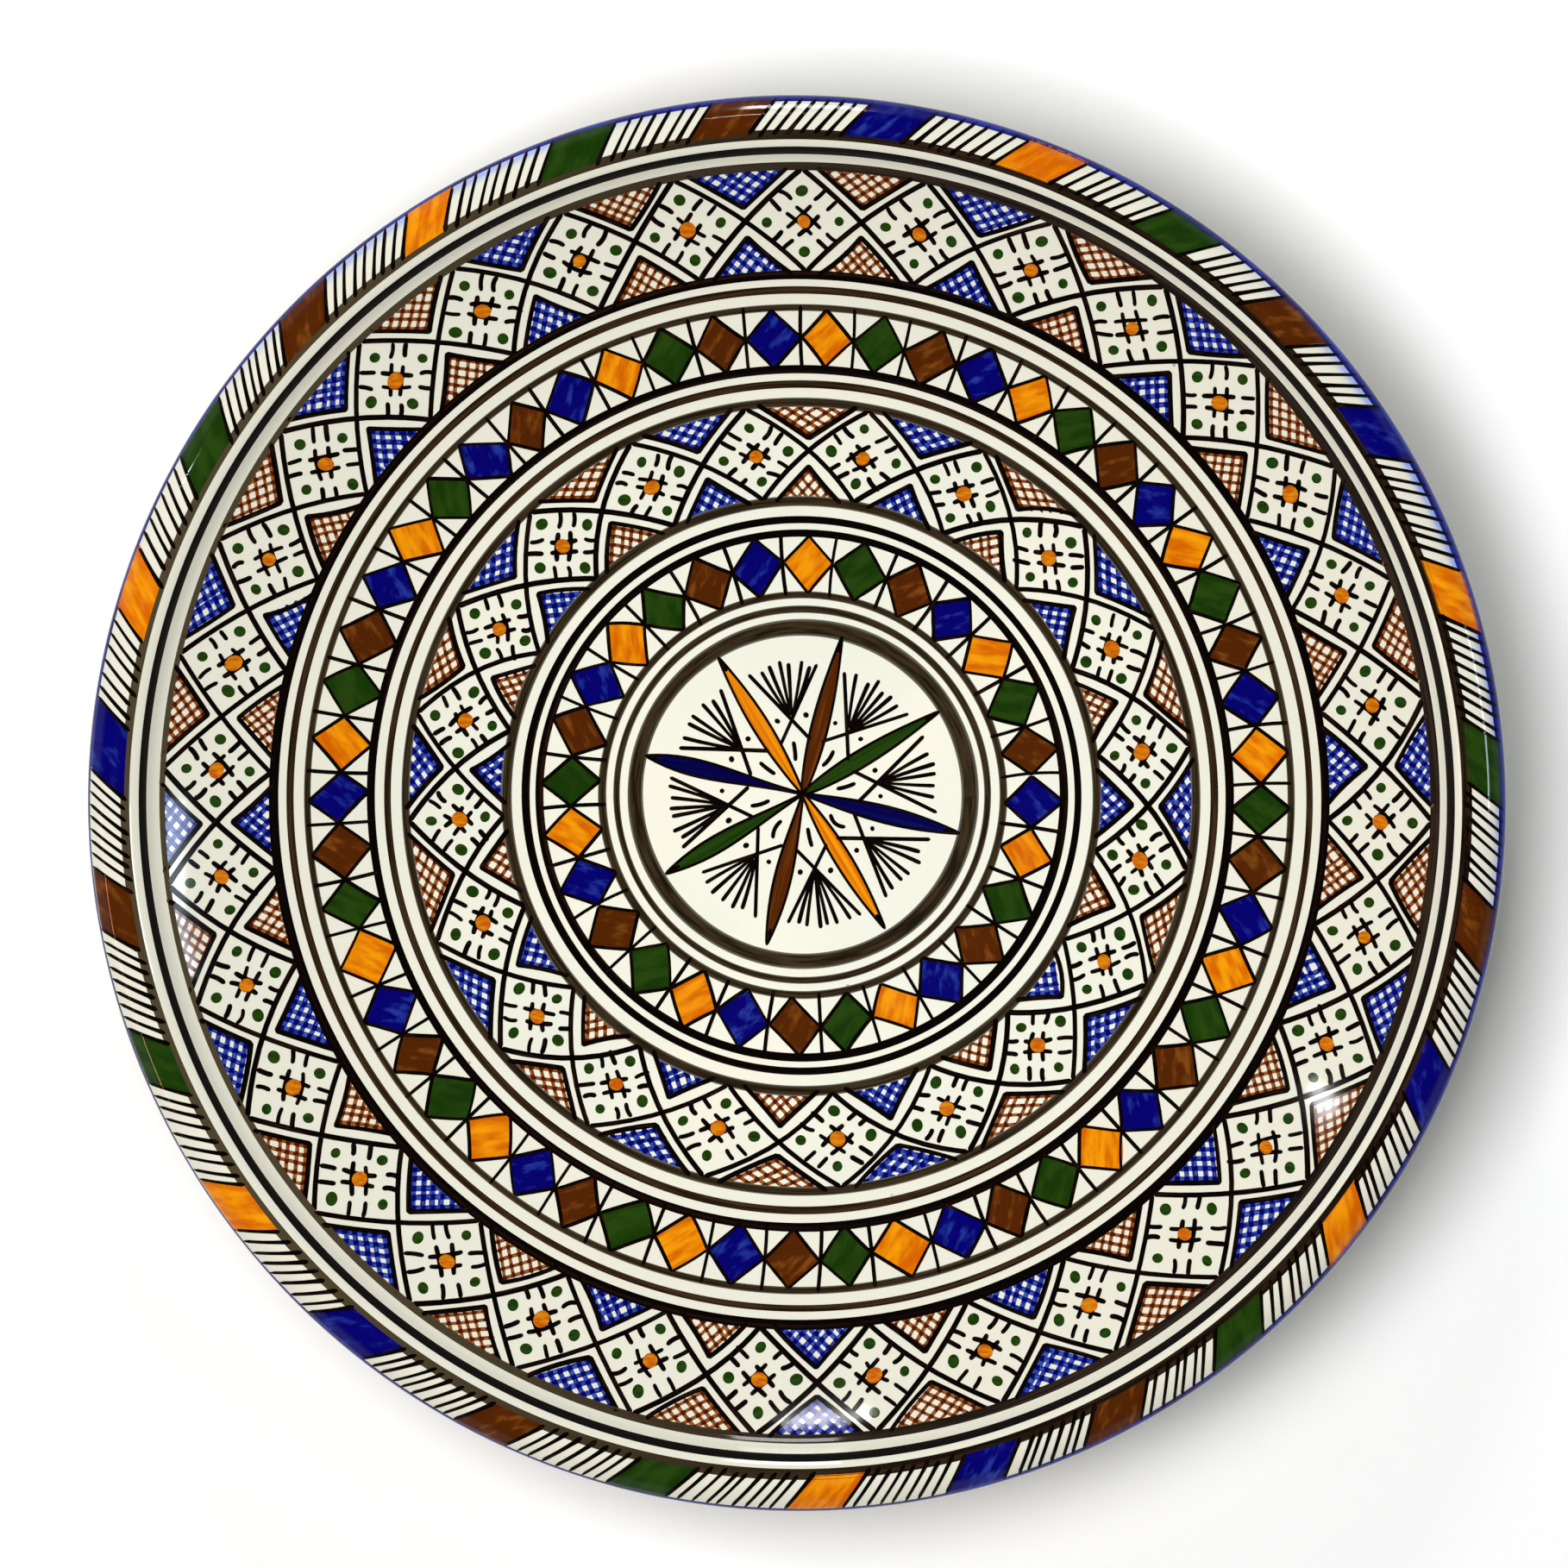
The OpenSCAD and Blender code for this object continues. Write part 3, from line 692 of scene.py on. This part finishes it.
def ring(lift, radius, width, thinner=0.0, n=480, k=4):
    """A ring: r(a) = radius + small sines of a, carried across its width from outside to inside. Towards the left it
    loses the given share of its width times ((1 - cos a) / 2)^2, most of it on the outside."""
    a = np.linspace(0, 2 * np.pi, n, endpoint=False)
    waver = lambda: sum(np.sin(m * a + hand.uniform(0, 6.28)) / m for m in (1, 2, 3, 7, 19))
    r, w = radius + RING_WAVER * waver(), width * (1 + WIDTH_WAVER * waver())
    lost = w * thinner * (0.5 - 0.5 * np.cos(a)) ** 2
    rows = (r - 0.4 * lost)[:, None] + (w - lost)[:, None] * np.linspace(0.5, -0.5, k)
    plan = rows[..., None] * np.stack([np.cos(a), np.sin(a)], -1)[:, None]
    return slabs(plan[None], lift, loop=True)


RIM_IN, TILE_OUT, TILE_IN = 189.3, 180.0, 148.6
LOZ_OUT, LOZ_IN = 139.1, 121.5
STAR_TILE_OUT, STAR_TILE_IN = 111.8, 83.6
STAR_LOZ_OUT, STAR_LOZ_IN, STAR_OUT = 74.3, 56.8, 47.4
black_lines = [(184.7, 2.3, 0.2), (TILE_IN, 2.6), (LOZ_IN, 2.4), (78.2, 2.1), (STAR_LOZ_OUT, 2.3)]
dark_lines = [(144.1, 1.95), (117.0, 2.1)]
# The last number of each wall ring is the share of its width that it loses towards the left.
wall_lines = [(WASH_UP, RIM_IN, 2.9, 0.12), (STROKE_UP, TILE_OUT, 2.8, 0.5)]
wash_lines = [(LOZ_OUT, 2.0), (STAR_TILE_OUT, 2.5), (STAR_TILE_IN, 2.8), (STAR_LOZ_IN, 2.2), (52.6, 1.95),
              (STAR_OUT, 4.6)]
rings = lambda lines, lift: join(*[ring(lift, *line) for line in lines])
piece("black_ring_paint", rings(black_lines, RING_UP), black, "black", "black_rings")
piece("dark_ring_paint", rings(dark_lines, RING_UP), dark, "black", "black_rings")
piece("wall_ring_paint", join(*[ring(*line) for line in wall_lines]), wall_wash, "wash", "wash_rings")
piece("wash_ring_paint", rings(wash_lines, WASH_UP), wash, "wash", "wash_rings")

# %% The blue line round the lip
LIP_LOW, LIP_HIGH, LIP_SWING, BROAD_SIDE = -35, 45, 11, 25
LIP_UP, LIP_SUNK = 0.06, 0.1


def lip_band(around, across):
    """A band on the round of the lip: at angle a it covers the lip's circle from LIP_LOW to LIP_HIGH, in degrees, plus
    LIP_SWING cos(a - BROAD_SIDE) and two small sines, so that the line is broad on one side and thin on the other."""
    a = np.linspace(0, 2 * np.pi, around, endpoint=False)
    swing = LIP_SWING * np.cos(a - np.radians(BROAD_SIDE))
    upper = np.radians(LIP_HIGH + swing + 3 * np.sin(5 * a) + 2 * np.sin(11 * a + 1))
    lower, t = math.radians(LIP_LOW), np.linspace(0, 1, across)
    b = lower + t[None] * (upper[:, None] - lower)
    b, proud = np.concatenate([b, b[:, ::-1]], 1), np.repeat([LIP_UP, -LIP_SUNK], across)
    r, z = lip[0] + (LIP_R + proud) * np.cos(b), lip[1] + (LIP_R + proud) * np.sin(b)
    verts = np.stack([r * np.cos(a)[:, None], r * np.sin(a)[:, None], z], -1)
    grid = np.pad(np.arange(around * 2 * across).reshape(around, 2 * across), ((0, 1), (0, 1)), "wrap")
    uv = np.stack(np.broadcast_arrays(a[:, None] / (2 * np.pi), np.concatenate([t, t[::-1]])[None]), -1)
    return {"verts": verts.reshape(-1, 3), "faces": [quads(grid)], "uv": uv.reshape(-1, 2),
            "tint": np.zeros(verts.size // 3)}


piece("lip_line_paint", lip_band(640, 11), lip_blue, "lip_blue", "lip_line")

# %% [markdown]
# ## The rim
# Colour blocks lean across the crest, with black hatching between them. The painter set them out by eye, so their
# spacing drifts round the plate and one colour was skipped. Blocks are patches and hatches are strokes that start
# thin at the lip and end in a blob on the wash line.

# %% Setting out by eye
def set_out(count, start, *bumps):
    """Angles of a band's motifs as set out by eye: even steps from the start, plus bell curves of the given middle,
    width and height, with the distance from the middle taken the short way round."""
    a = np.arange(count) * 360 / count + start
    away = lambda middle: (a - middle + 180) % 360 - 180
    return a + sum(height * bell(away(middle), 0, width) for middle, width, height in bumps)


print("three motifs set out evenly:", set_out(3, 10.0))

# %% Colour blocks of the rim
GREEN, ORANGE, BLUE, BROWN = range(4)
BLOCKS, SKIPPED, LEAN, HALF_BLOCK = 27, 10, 2.4, 2.58
BLOCK_OUT, BLOCK_LONG = 199.2, 9.7
number = np.arange(BLOCKS)
block_turn = set_out(BLOCKS, 2.4, (30, 18, 3.0), (275, 26, 3.6), (5, 40, 1.1), (237, 20, 1.3), (100, 15, -0.6))
block_turn = shaky(block_turn, 0.15)
rim_colour = (number + (number >= SKIPPED)) % 4
block_half = shaky(np.full(BLOCKS, HALF_BLOCK), 0.15)


def leaning(s, at):
    """Plan points across the rim at share s from the lip: the radius falls and the angle grows with s."""
    return polar(BLOCK_OUT - s * BLOCK_LONG, at + LEAN * (s - 0.5))


s, t = np.meshgrid(np.linspace(0, 1, 22), np.linspace(-1, 1, 7), indexing="ij")
blocks = leaning(s[None], block_turn[:, None, None] + block_half[:, None, None] * t[None])
block_batch = [slabs(blocks[rim_colour == c], BLOCK_UP) for c in range(4)]
print("blocks in green, orange, blue and brown:", np.bincount(rim_colour))

# %% Hatching of the rim
HATCH_STEP = 1.06
gaps = []
for here in range(BLOCKS):
    after = (here + 1) % BLOCKS
    start = block_turn[here] + block_half[here]
    end = block_turn[after] - block_half[after] + (0 if after else 360)
    count = max(5, round((end - start) / HATCH_STEP))
    gaps.append(shaky(np.linspace(start, end, count + 1), 0.07))
hatch_a = np.concatenate(gaps)
down = np.linspace(0, 1, 13)
reach = down[None] * hand.uniform(0.98, 1.12, len(hatch_a))[:, None]
hatch = leaning(reach, shaky(hatch_a[:, None], 0.05))
hatch_w = 0.9 + 0.35 * down**2 + 0.45 * down**10
piece("rim_hatching_paint", brush(hatch, hatch_w, HATCH_UP, (0.85, 1.15)), black, "black")

# %% [markdown]
# ## Flower tiles
# Two bands are parted into tiles by crossing lines. A tile holds a dot with a hash of strokes round it, pairs of
# ticks on its sides and a leaf in each corner; between the tiles are framed triangles with cross-hatching. All of it
# follows from the corners of a tile, which are moved a little by hand first.

# %% Corners of a band of tiles
OUT_SHORT, IN_SHORT, SWING_OUT = 0.8, 0.9, 0.5


def half_way(a):
    """Angles half-way from each motif of a band to the next one."""
    return (a + np.roll(a, -1) + np.where(np.arange(len(a)) == len(a) - 1, 360, 0)) / 2


def tile_band(inner, outer, a):
    """Corners of the tiles whose middles lie at the angles a: outer and inner ones on the two rings, and crossings
    half-way between two middles, a little outside the mean radius, because the brush swings outwards there."""
    crossing = (inner + outer) / 2 + SWING_OUT
    return {"out": polar(outer - OUT_SHORT, shaky(a, 0.25)), "in": polar(inner + IN_SHORT, shaky(a, 0.3)),
            "cross": shaky(polar(crossing, half_way(a)), 0.4), "radii": (inner, outer)}


def inside_tile(band, u, v):
    """Plan points in every tile from its own coordinates u and v, which run from -1 to 1 along its sides: the
    bilinear blend of its inner, right, outer and left corners."""
    corners = np.stack([band["in"], np.roll(band["cross"], 1, 0), band["out"], band["cross"]], 1)
    return np.einsum("c,scx->sx", corner_shares(u, v), corners)


bands = [tile_band(TILE_IN, TILE_OUT, set_out(32, 9.7, (98, 30, 1.2), (210, 42, -2.6), (290, 42, -2.2))),
         tile_band(STAR_TILE_IN, STAR_TILE_OUT, set_out(20, 7.6, (192, 30, -3.8), (248, 30, -4.2), (65, 35, 0.5)))]
print("tiles in the two bands:", [len(band["out"]) for band in bands])

# %% Lattice and flowers
LATTICE_WIDE, STROKE_WIDE = 1.46, 1.28
# Strokes of a flower in its tile's own coordinates: where they begin and end, and how far they lie to each side.
hash_strokes, outer_ticks, inner_ticks = (-0.42, 0.42, 0.16), (0.57, 0.99, 0.18), (-0.99, -0.57, 0.18)
LEAF_AT = 0.6
lattice, flower, eyes, leaves = [], [], [], []
signs = np.array([-1.0, 1.0])
for band in bands:
    out, inn, cross = band["out"], band["in"], band["cross"]
    lines = np.concatenate([through(a, cross, np.roll(c, -1, 0), 12) for a, c in ((out, inn), (inn, out))])
    lattice.append(brush(lines, LATTICE_WIDE, LATTICE_UP, (0.88, 1.12)))
    for near, far, aside in (hash_strokes, outer_ticks, inner_ticks):
        for side in signs * aside:
            for ends in (((side, near), (side, far)), ((near, side), (far, side))):
                a, c = (shaky(inside_tile(band, *end), 0.28) for end in ends)
                flower.append(brush(drawn(a, c, 9, 0.3), STROKE_WIDE, STROKE_UP, (0.85, 1.15)))
    eye_at = shaky(inside_tile(band, 0.0, 0.0), 0.2)
    eyes.append(dots(eye_at, hand.uniform(1.75, 2.25, len(out)), EYE_UP))
    for u in signs * LEAF_AT:
        for v in signs * LEAF_AT:
            leaf_at = shaky(inside_tile(band, u, v), 0.35)
            leaves.append(dots(leaf_at, hand.uniform(1.3, 1.65, len(out)), RING_UP))
piece("tile_flower_paint", join(*flower), black, "lattice")

# %% Framed triangles with cross-hatching
FIRST_CHECK, CHECK_WIDE, CHECK_PITCH = 0.42, (1.02, 1.5), (2.5, 2.68)
SHORTEST_CHECK, CHECK_STEP, FRAME_STRIP, FRAME_WIDE = 1.3, 0.016, (2.75, 3.2), 1.38


def triangles(band, end):
    """Frame strokes and check strokes of the triangles between tiles, on the outer or the inner ring. The frame's
    tip is the crossing moved along the bisector by strip / sin(half angle). A check stroke starts on one side at a
    whole number of pitches and runs along the other side, until it meets the ring where |p + x d| = R."""
    cross, corner_a, corner_b = band["cross"], band[end], np.roll(band[end], -1, 0)
    outer = end == "out"
    ring_r, sign = band["radii"][outer], 1 if outer else -1
    unit = lambda d: d / np.linalg.norm(d, axis=-1, keepdims=True)
    e1, e2 = unit(corner_a - cross), unit(corner_b - cross)
    sine = np.abs(e1[:, 0] * e2[:, 1] - e1[:, 1] * e2[:, 0])
    half_sine = np.sqrt((1 - (e1 * e2).sum(-1)) / 2)
    tip = cross + unit(e1 + e2) * (hand.uniform(*FRAME_STRIP, len(cross)) / half_sine)[:, None]

    def to_ring(p, d):
        """How far p is from the ring along d: the root of |p + x d| = R on the ring's side, or 0 where none is."""
        b = (p * d).sum(-1)
        root = b**2 - (p * p).sum(-1) + ring_r**2
        return np.where(root > 0, -b + sign * np.sqrt(np.maximum(root, 0)), 0)

    frames = np.concatenate([drawn(tip - d * 0.45, tip + d * to_ring(tip, d)[:, None], 9, 0.35) for d in (e1, e2)])
    checks = []
    for parity in (1, 0):
        pitch = CHECK_PITCH[parity]
        for e, f in ((e1, e2), (e2, e1)):
            step = (np.arange(11) + FIRST_CHECK)[None, :, None] * (pitch / sine)[:, None, None]
            begin = tip[:, None] + f[:, None] * step
            length = to_ring(begin, e[:, None]) + hand.uniform(-1.3, -0.5, begin.shape[:2])
            keep = (length > SHORTEST_CHECK) & ((np.arange(len(cross)) % 2 == parity)[:, None])
            way = np.broadcast_to(e[:, None], begin.shape)[keep]
            p, reach = shaky(begin[keep], 0.12), length[keep]
            strokes = drawn(p, p + way * reach[:, None], 7, 0.16)
            crossed = reach * np.broadcast_to(sine[:, None], keep.shape)[keep] / pitch
            u = along(7)[None] * crossed[:, None] - FIRST_CHECK
            checks.append((parity, strokes, u))
    return frames, checks


print(f"pitch of the checks: brown {CHECK_PITCH[0]} mm, blue {CHECK_PITCH[1]} mm")

# %% Frames and checks of both bands
frame_strokes, check_batch = [], ([], [])
for band in bands:
    for end in ("out", "in"):
        frames, checks = triangles(band, end)
        frame_strokes.append(brush(frames, FRAME_WIDE, EDGE_UP, (0.85, 1.12)))
        for family, (parity, strokes, u) in enumerate(checks):
            up = CHECK_UP + CHECK_STEP * (family % 2)
            check_batch[parity].append(brush(strokes, CHECK_WIDE[parity], up, (0.85, 1.12), u))
piece("tile_lattice_paint", join(*lattice, *frame_strokes), black, "lattice", "tile_lattice")
piece("brown_check_paint", join(*check_batch[0]), check_brown, "brown")
piece("blue_check_paint", join(*check_batch[1]), check_blue, "blue")

# %% [markdown]
# ## Lozenges
# Two bands of lozenges in four colours stand corner to corner, with a thin dark outline and a bar between every two.
# A lozenge is a patch between four corners that the hand has moved; its outline is four strokes along its sides.

# %% Corners of a band of lozenges
TOUCH_GAP, SIDE_OUT = 0.1, 0.3


def lozenge_band(inner, outer, a):
    """Corners of the lozenges in order inner, right, outer, left, and the bars at the places where they touch. The
    side corners turn back from the touching place by a tenth of a millimetre."""
    count, middle = len(a), (inner + outer) / 2 + SIDE_OUT
    between = polar(shaky(np.full(count, middle), 0.35), shaky(half_way(a), 0.2))
    gap = TOUCH_GAP / middle
    turned = lambda p, by: p + by * np.stack([-p[:, 1], p[:, 0]], -1)
    twist = hand.normal(size=count) * 0.45 * (360 / count) / 7
    short = lambda: np.abs(hand.normal(size=count)) * 0.4
    corners = np.stack([polar(inner + 0.1 + short(), a + twist), turned(np.roll(between, 1, 0), gap),
                        polar(outer - 0.1 - short(), a - twist), turned(between, -gap)], 1)
    lean = hand.normal(size=count) * 0.12
    bar_a = np.degrees(np.arctan2(between[:, 1], between[:, 0]))
    near = polar(inner - 0.2 - hand.random(count), bar_a - lean)
    far = polar(outer + 0.1 + 0.9 * hand.random(count), bar_a + lean)
    return corners, drawn(near, far, 10, 0.25)


print(f"the lozenges are {LOZ_OUT - LOZ_IN:.1f} and {STAR_LOZ_OUT - STAR_LOZ_IN:.1f} mm high")

# %% Lozenges, outlines and bars
OUTER_LOZENGES, INNER_LOZENGES, REPEATED = 53, 28, 20
OUTLINE_WIDE, BAR_WIDE = 0.95, 1.03
nth = np.arange(OUTER_LOZENGES)
outer_order = np.where(nth < REPEATED, nth % 4, np.where(nth == REPEATED, BLUE, (nth - 1) % 4))
inner_order = np.array([BLUE, BROWN, GREEN, ORANGE])[np.arange(INNER_LOZENGES) % 4]
outer_turns = set_out(OUTER_LOZENGES, -1.0, (160, 60, -2.3), (250, 60, -1.9))
inner_turns = set_out(INNER_LOZENGES, -1.6, (195, 50, -1.8))
lozenge_batch, outline, bar = [[], [], [], []], [], []
for order, (corners, bars) in (
    (outer_order, lozenge_band(LOZ_IN, LOZ_OUT, outer_turns)),
    (inner_order, lozenge_band(STAR_LOZ_IN, STAR_LOZ_OUT, inner_turns)),
):
    for c in range(4):
        lozenge_batch[c].append(patch(corners[order == c], 7, 7, FILL_UP, 0.07))
    sides = drawn(corners, np.roll(corners, -1, 1), 8, 0.15).reshape(-1, 8, 2)
    outline.append(brush(sides, OUTLINE_WIDE, EDGE_UP, (0.8, 1.2)))
    bar.append(brush(bars, BAR_WIDE, BAR_UP, (0.85, 1.15)))
piece("lozenge_outline_paint", join(*outline), black, "bars")
piece("lozenge_bar_paint", join(*bar), black, "bars", "lozenge_bars")

# %% [markdown]
# ## The star
# Eight lance-shaped petals meet in the middle, with palm sprays between them. A petal is a lens whose widest place
# lies nearer its tip; its outline is two strokes. The outer strokes of a spray run on through its root and cross.

# %% Petals and their outlines
PETAL_HALF, PETAL_LEAST, PETAL_BACK = 2.3, 0.14, 0.8
petal_turn = shaky(-14 + 45 * np.arange(8), 0.6)
petal_colour = np.array([BLUE, GREEN, BROWN, ORANGE] * 2)
petal_peak = np.array([0.55, 0.44, 0.44, 0.5, 0.68, 0.64, 0.58, 0.5])
petal_far = np.array([45.6, 45.2, 46.0, 45.4, 45.6, 44.7, 43.6, 44.3])


def petal_side(share):
    """Points along a petal at a share of its half-width, which is PETAL_LEAST + PETAL_HALF sin(pi s^q)^0.92 at share
    s of its length, with q set so that the widest place lies at the petal's peak."""
    s = along(26)
    q = np.log(0.5) / np.log(petal_peak)
    half_w = PETAL_LEAST + PETAL_HALF * np.sin(np.pi * s[None] ** q[:, None]) ** 0.92
    x, y = -PETAL_BACK + s[None] * (petal_far[:, None] + PETAL_BACK), half_w * share
    a = np.radians(petal_turn)[:, None]
    return np.stack([x * np.cos(a) - y * np.sin(a), x * np.sin(a) + y * np.cos(a)], -1)


petal_grid = np.stack([petal_side(v) for v in np.linspace(-1, 1, 5)], 2)
petal_batch = [slabs(petal_grid[petal_colour == c], FILL_UP) for c in range(4)]
petal_edge = np.concatenate([petal_side(share) for share in (-0.96, 0.96)])
petal_tip = drawn(polar(petal_far - 4.5, petal_turn), polar(petal_far + 0.4, petal_turn), 9)
print("petals:", len(petal_grid), "longest", petal_far.max(), "mm")

# %% Palm sprays, dashes and dots
SPRAY_ROOT, FAN, OUTER_LONG, INNER_LONG, RUN_BACK, BOW = 21.3, 35, 18.0, 16.8, 7.8, 0.0108
DASH_ENDS, DOT_ALONG, DOT_ASIDE = (9.6, 15.2), 21.8, (-4.0, 4.0)
EDGE_WIDE, TIP_WIDE, DASH_WIDE = 0.75, 0.95, 1.2
spray = [brush(petal_edge, EDGE_WIDE, EDGE_UP, (0.9, 1.1)), brush(petal_tip, TIP_WIDE, TIP_UP)]
dot_at = []
for spray_turn, count in zip(petal_turn + 22.5, (7, 8, 8, 7, 8, 7, 8, 7)):
    local = lambda r, w: polar(np.hypot(r, w), spray_turn + np.degrees(np.arctan2(w, r)))
    fan = shaky(np.linspace(-FAN, FAN, count), 1.5)
    outer = np.abs(np.linspace(-1, 1, count)) > 0.99
    tip_far = shaky(np.where(outer, OUTER_LONG, INNER_LONG), 0.5)
    root_far = np.where(outer, -RUN_BACK, 0.2 + 1.8 * hand.random(count))
    root_fan = fan * (0.75 + 0.25 * outer)
    root, tip = (local(SPRAY_ROOT + far * np.cos(np.radians(fan)), far * np.sin(np.radians(swing)))
                 for far, swing in ((root_far, root_fan), (tip_far, fan)))
    bow = local(np.zeros(count), np.where(outer, 0.0, BOW * fan))
    load_w = np.where(outer[:, None], 1.1, 0.8 + 0.42 * along(12))
    spray.append(brush(through(root, (root + tip) / 2 + bow, tip, 12), load_w, SPRAY_UP, (0.9, 1.1)))
    dash = local(np.array(DASH_ENDS), hand.normal(size=2) * 0.5)
    spray.append(brush(drawn(dash[:1], dash[1:], 9, 0.5), DASH_WIDE, SPRAY_UP))
    dot_at.append(local(shaky(np.full(2, DOT_ALONG), 0.4), shaky(np.array(DOT_ASIDE), 0.3)))
spray.append(dots(np.concatenate(dot_at), hand.uniform(0.62, 0.8, 2 * len(dot_at)), SPRAY_UP))
piece("star_spray_paint", join(*spray), black, "sprays", "star_sprays")

# %% [markdown]
# ## The four colours
# Each colour went on in one go: rim blocks, lozenges, petals and dots from the same pot. So each colour is one piece
# that joins its patches, as the CAD model has it. Two places took the colour differently and are pieces of their own:
# the flowers' orange eyes, which lie over the black and fire browner, and the two blue petals, laid on thick and dark.

# %% Join the patches of each colour
piece("orange_eye_paint", join(*eyes), eye_orange, "orange", "orange_fills")
piece("blue_petal_paint", petal_batch[BLUE], petal_blue, "blue", "blue_fills")
dab_batch = [[petal_batch[GREEN], *leaves], [petal_batch[ORANGE]], [], [petal_batch[BROWN]]]
for c, (name, material) in enumerate((("green", green), ("orange", orange), ("blue", cobalt), ("brown", brown))):
    piece(f"{name}_paint", join(block_batch[c], *lozenge_batch[c], *dab_batch[c]), material, name, f"{name}_fills")

# %% [markdown]
# ## Studio
# The photograph looks almost straight down on the plate, from a little to the upper right, with a long lens. Small
# lamps stand round it, one bluish and one warm, too low for the flat of the dish to mirror them, so that only the
# hollow corner and the crest catch highlights. The even light comes from overhead, where the shallow bowl would mirror
# it over the painting. A photographer takes that mirror image away with polarising filters, and here the lamp is
# hidden from glossy rays.

# %% Floor
HALF_FLOOR = 6
ground = bpy.data.meshes.new("floor")
ground.from_pydata([(x * HALF_FLOOR, y * HALF_FLOOR, 0) for x, y in ((-1, -1), (1, -1), (1, 1), (-1, 1))],
                   [], [(0, 1, 2, 3)])
floor_paint, _, floor_shader = blank_material("studio_floor")
floor_shader.inputs["Base Color"].default_value = (0.93, 0.93, 0.93, 1)
floor_shader.inputs["Roughness"].default_value = 0.9
ground.materials.append(floor_paint)
stage = placed("floor", ground)
print("floor:", 2 * HALF_FLOOR, "m wide")

# %% Lamps and sky
def lamp(name, turn, rise, size, power, tone=(1, 1, 1), far=2.2):
    """A rectangular soft lamp at an angle round the plate and above the floor, aimed at the plate."""
    light = bpy.data.lights.new(name, "AREA")
    light.shape, light.size, light.size_y, light.energy, light.color = "RECTANGLE", *size, power, tone
    obj = placed(name, light)
    a, e = math.radians(turn), math.radians(rise)
    obj.location = far * np.array([math.cos(a) * math.cos(e), math.sin(a) * math.cos(e), math.sin(e)])
    obj.rotation_euler = (math.pi / 2 - e, 0, a + math.pi / 2)
    return obj


lamp("window", 92, 31, (0.34, 0.35), 8)
lamp("tube_top", 97.5, 53.2, (0.2, 0.02), 0.55)
lamp("tube_top_left", 158.5, 49.8, (0.04, 0.07), 0.5)
lamp("tube_right", 2, 50, (0.42, 0.18), 2.5, (0.7, 0.85, 1))
lamp("tube_low_left", 197, 38, (0.74, 0.05), 1.9, (1, 0.5, 0.3))
copy_light = lamp("copy_light", 170, 80, (1.2, 1.2), 56, far=2.4)
copy_light.visible_glossy = copy_light.visible_camera = False
world = bpy.data.worlds.new("studio")
world.use_nodes = True
sky = world.node_tree
height = node(sky, "SeparateXYZ", inputs={"Vector": node(sky, "TexCoord").outputs["Generated"]}).outputs[2]
sky.links.new(spread(sky, height, 0.4, 0.7, 0.32, 0.03), sky.nodes["Background"].inputs["Strength"])
sky.nodes["Background"].inputs["Color"].default_value = (1.0, 1.0, 0.99, 1)
bpy.context.scene.world = world
print("lamps:", [light.name for light in bpy.data.lights])

# %% Camera
TILT, SIDE, FAR, LENS_PER_METRE = math.radians(4.8), math.radians(56), 10.0, 81.46
aim = np.array([-0.0035, 0.0056, 0.058])
back = np.array([math.sin(TILT) * math.cos(SIDE), math.sin(TILT) * math.sin(SIDE), math.cos(TILT)])
right = np.cross([0, 1, 0], back)
right /= np.linalg.norm(right)
up = np.cross(back, right)
camera = bpy.data.cameras.new("camera")
camera.lens, camera.sensor_width, camera.clip_end = LENS_PER_METRE * FAR, 36, 50
eye = placed("camera", camera)
eye.location = aim + back * FAR
eye.rotation_euler = Matrix(np.stack([right, up, back], 1).tolist()).to_euler()
bpy.context.scene.camera = eye
bpy.context.scene.view_settings.view_transform = "Standard"
print("camera lens", camera.lens, "mm at", FAR, "m")
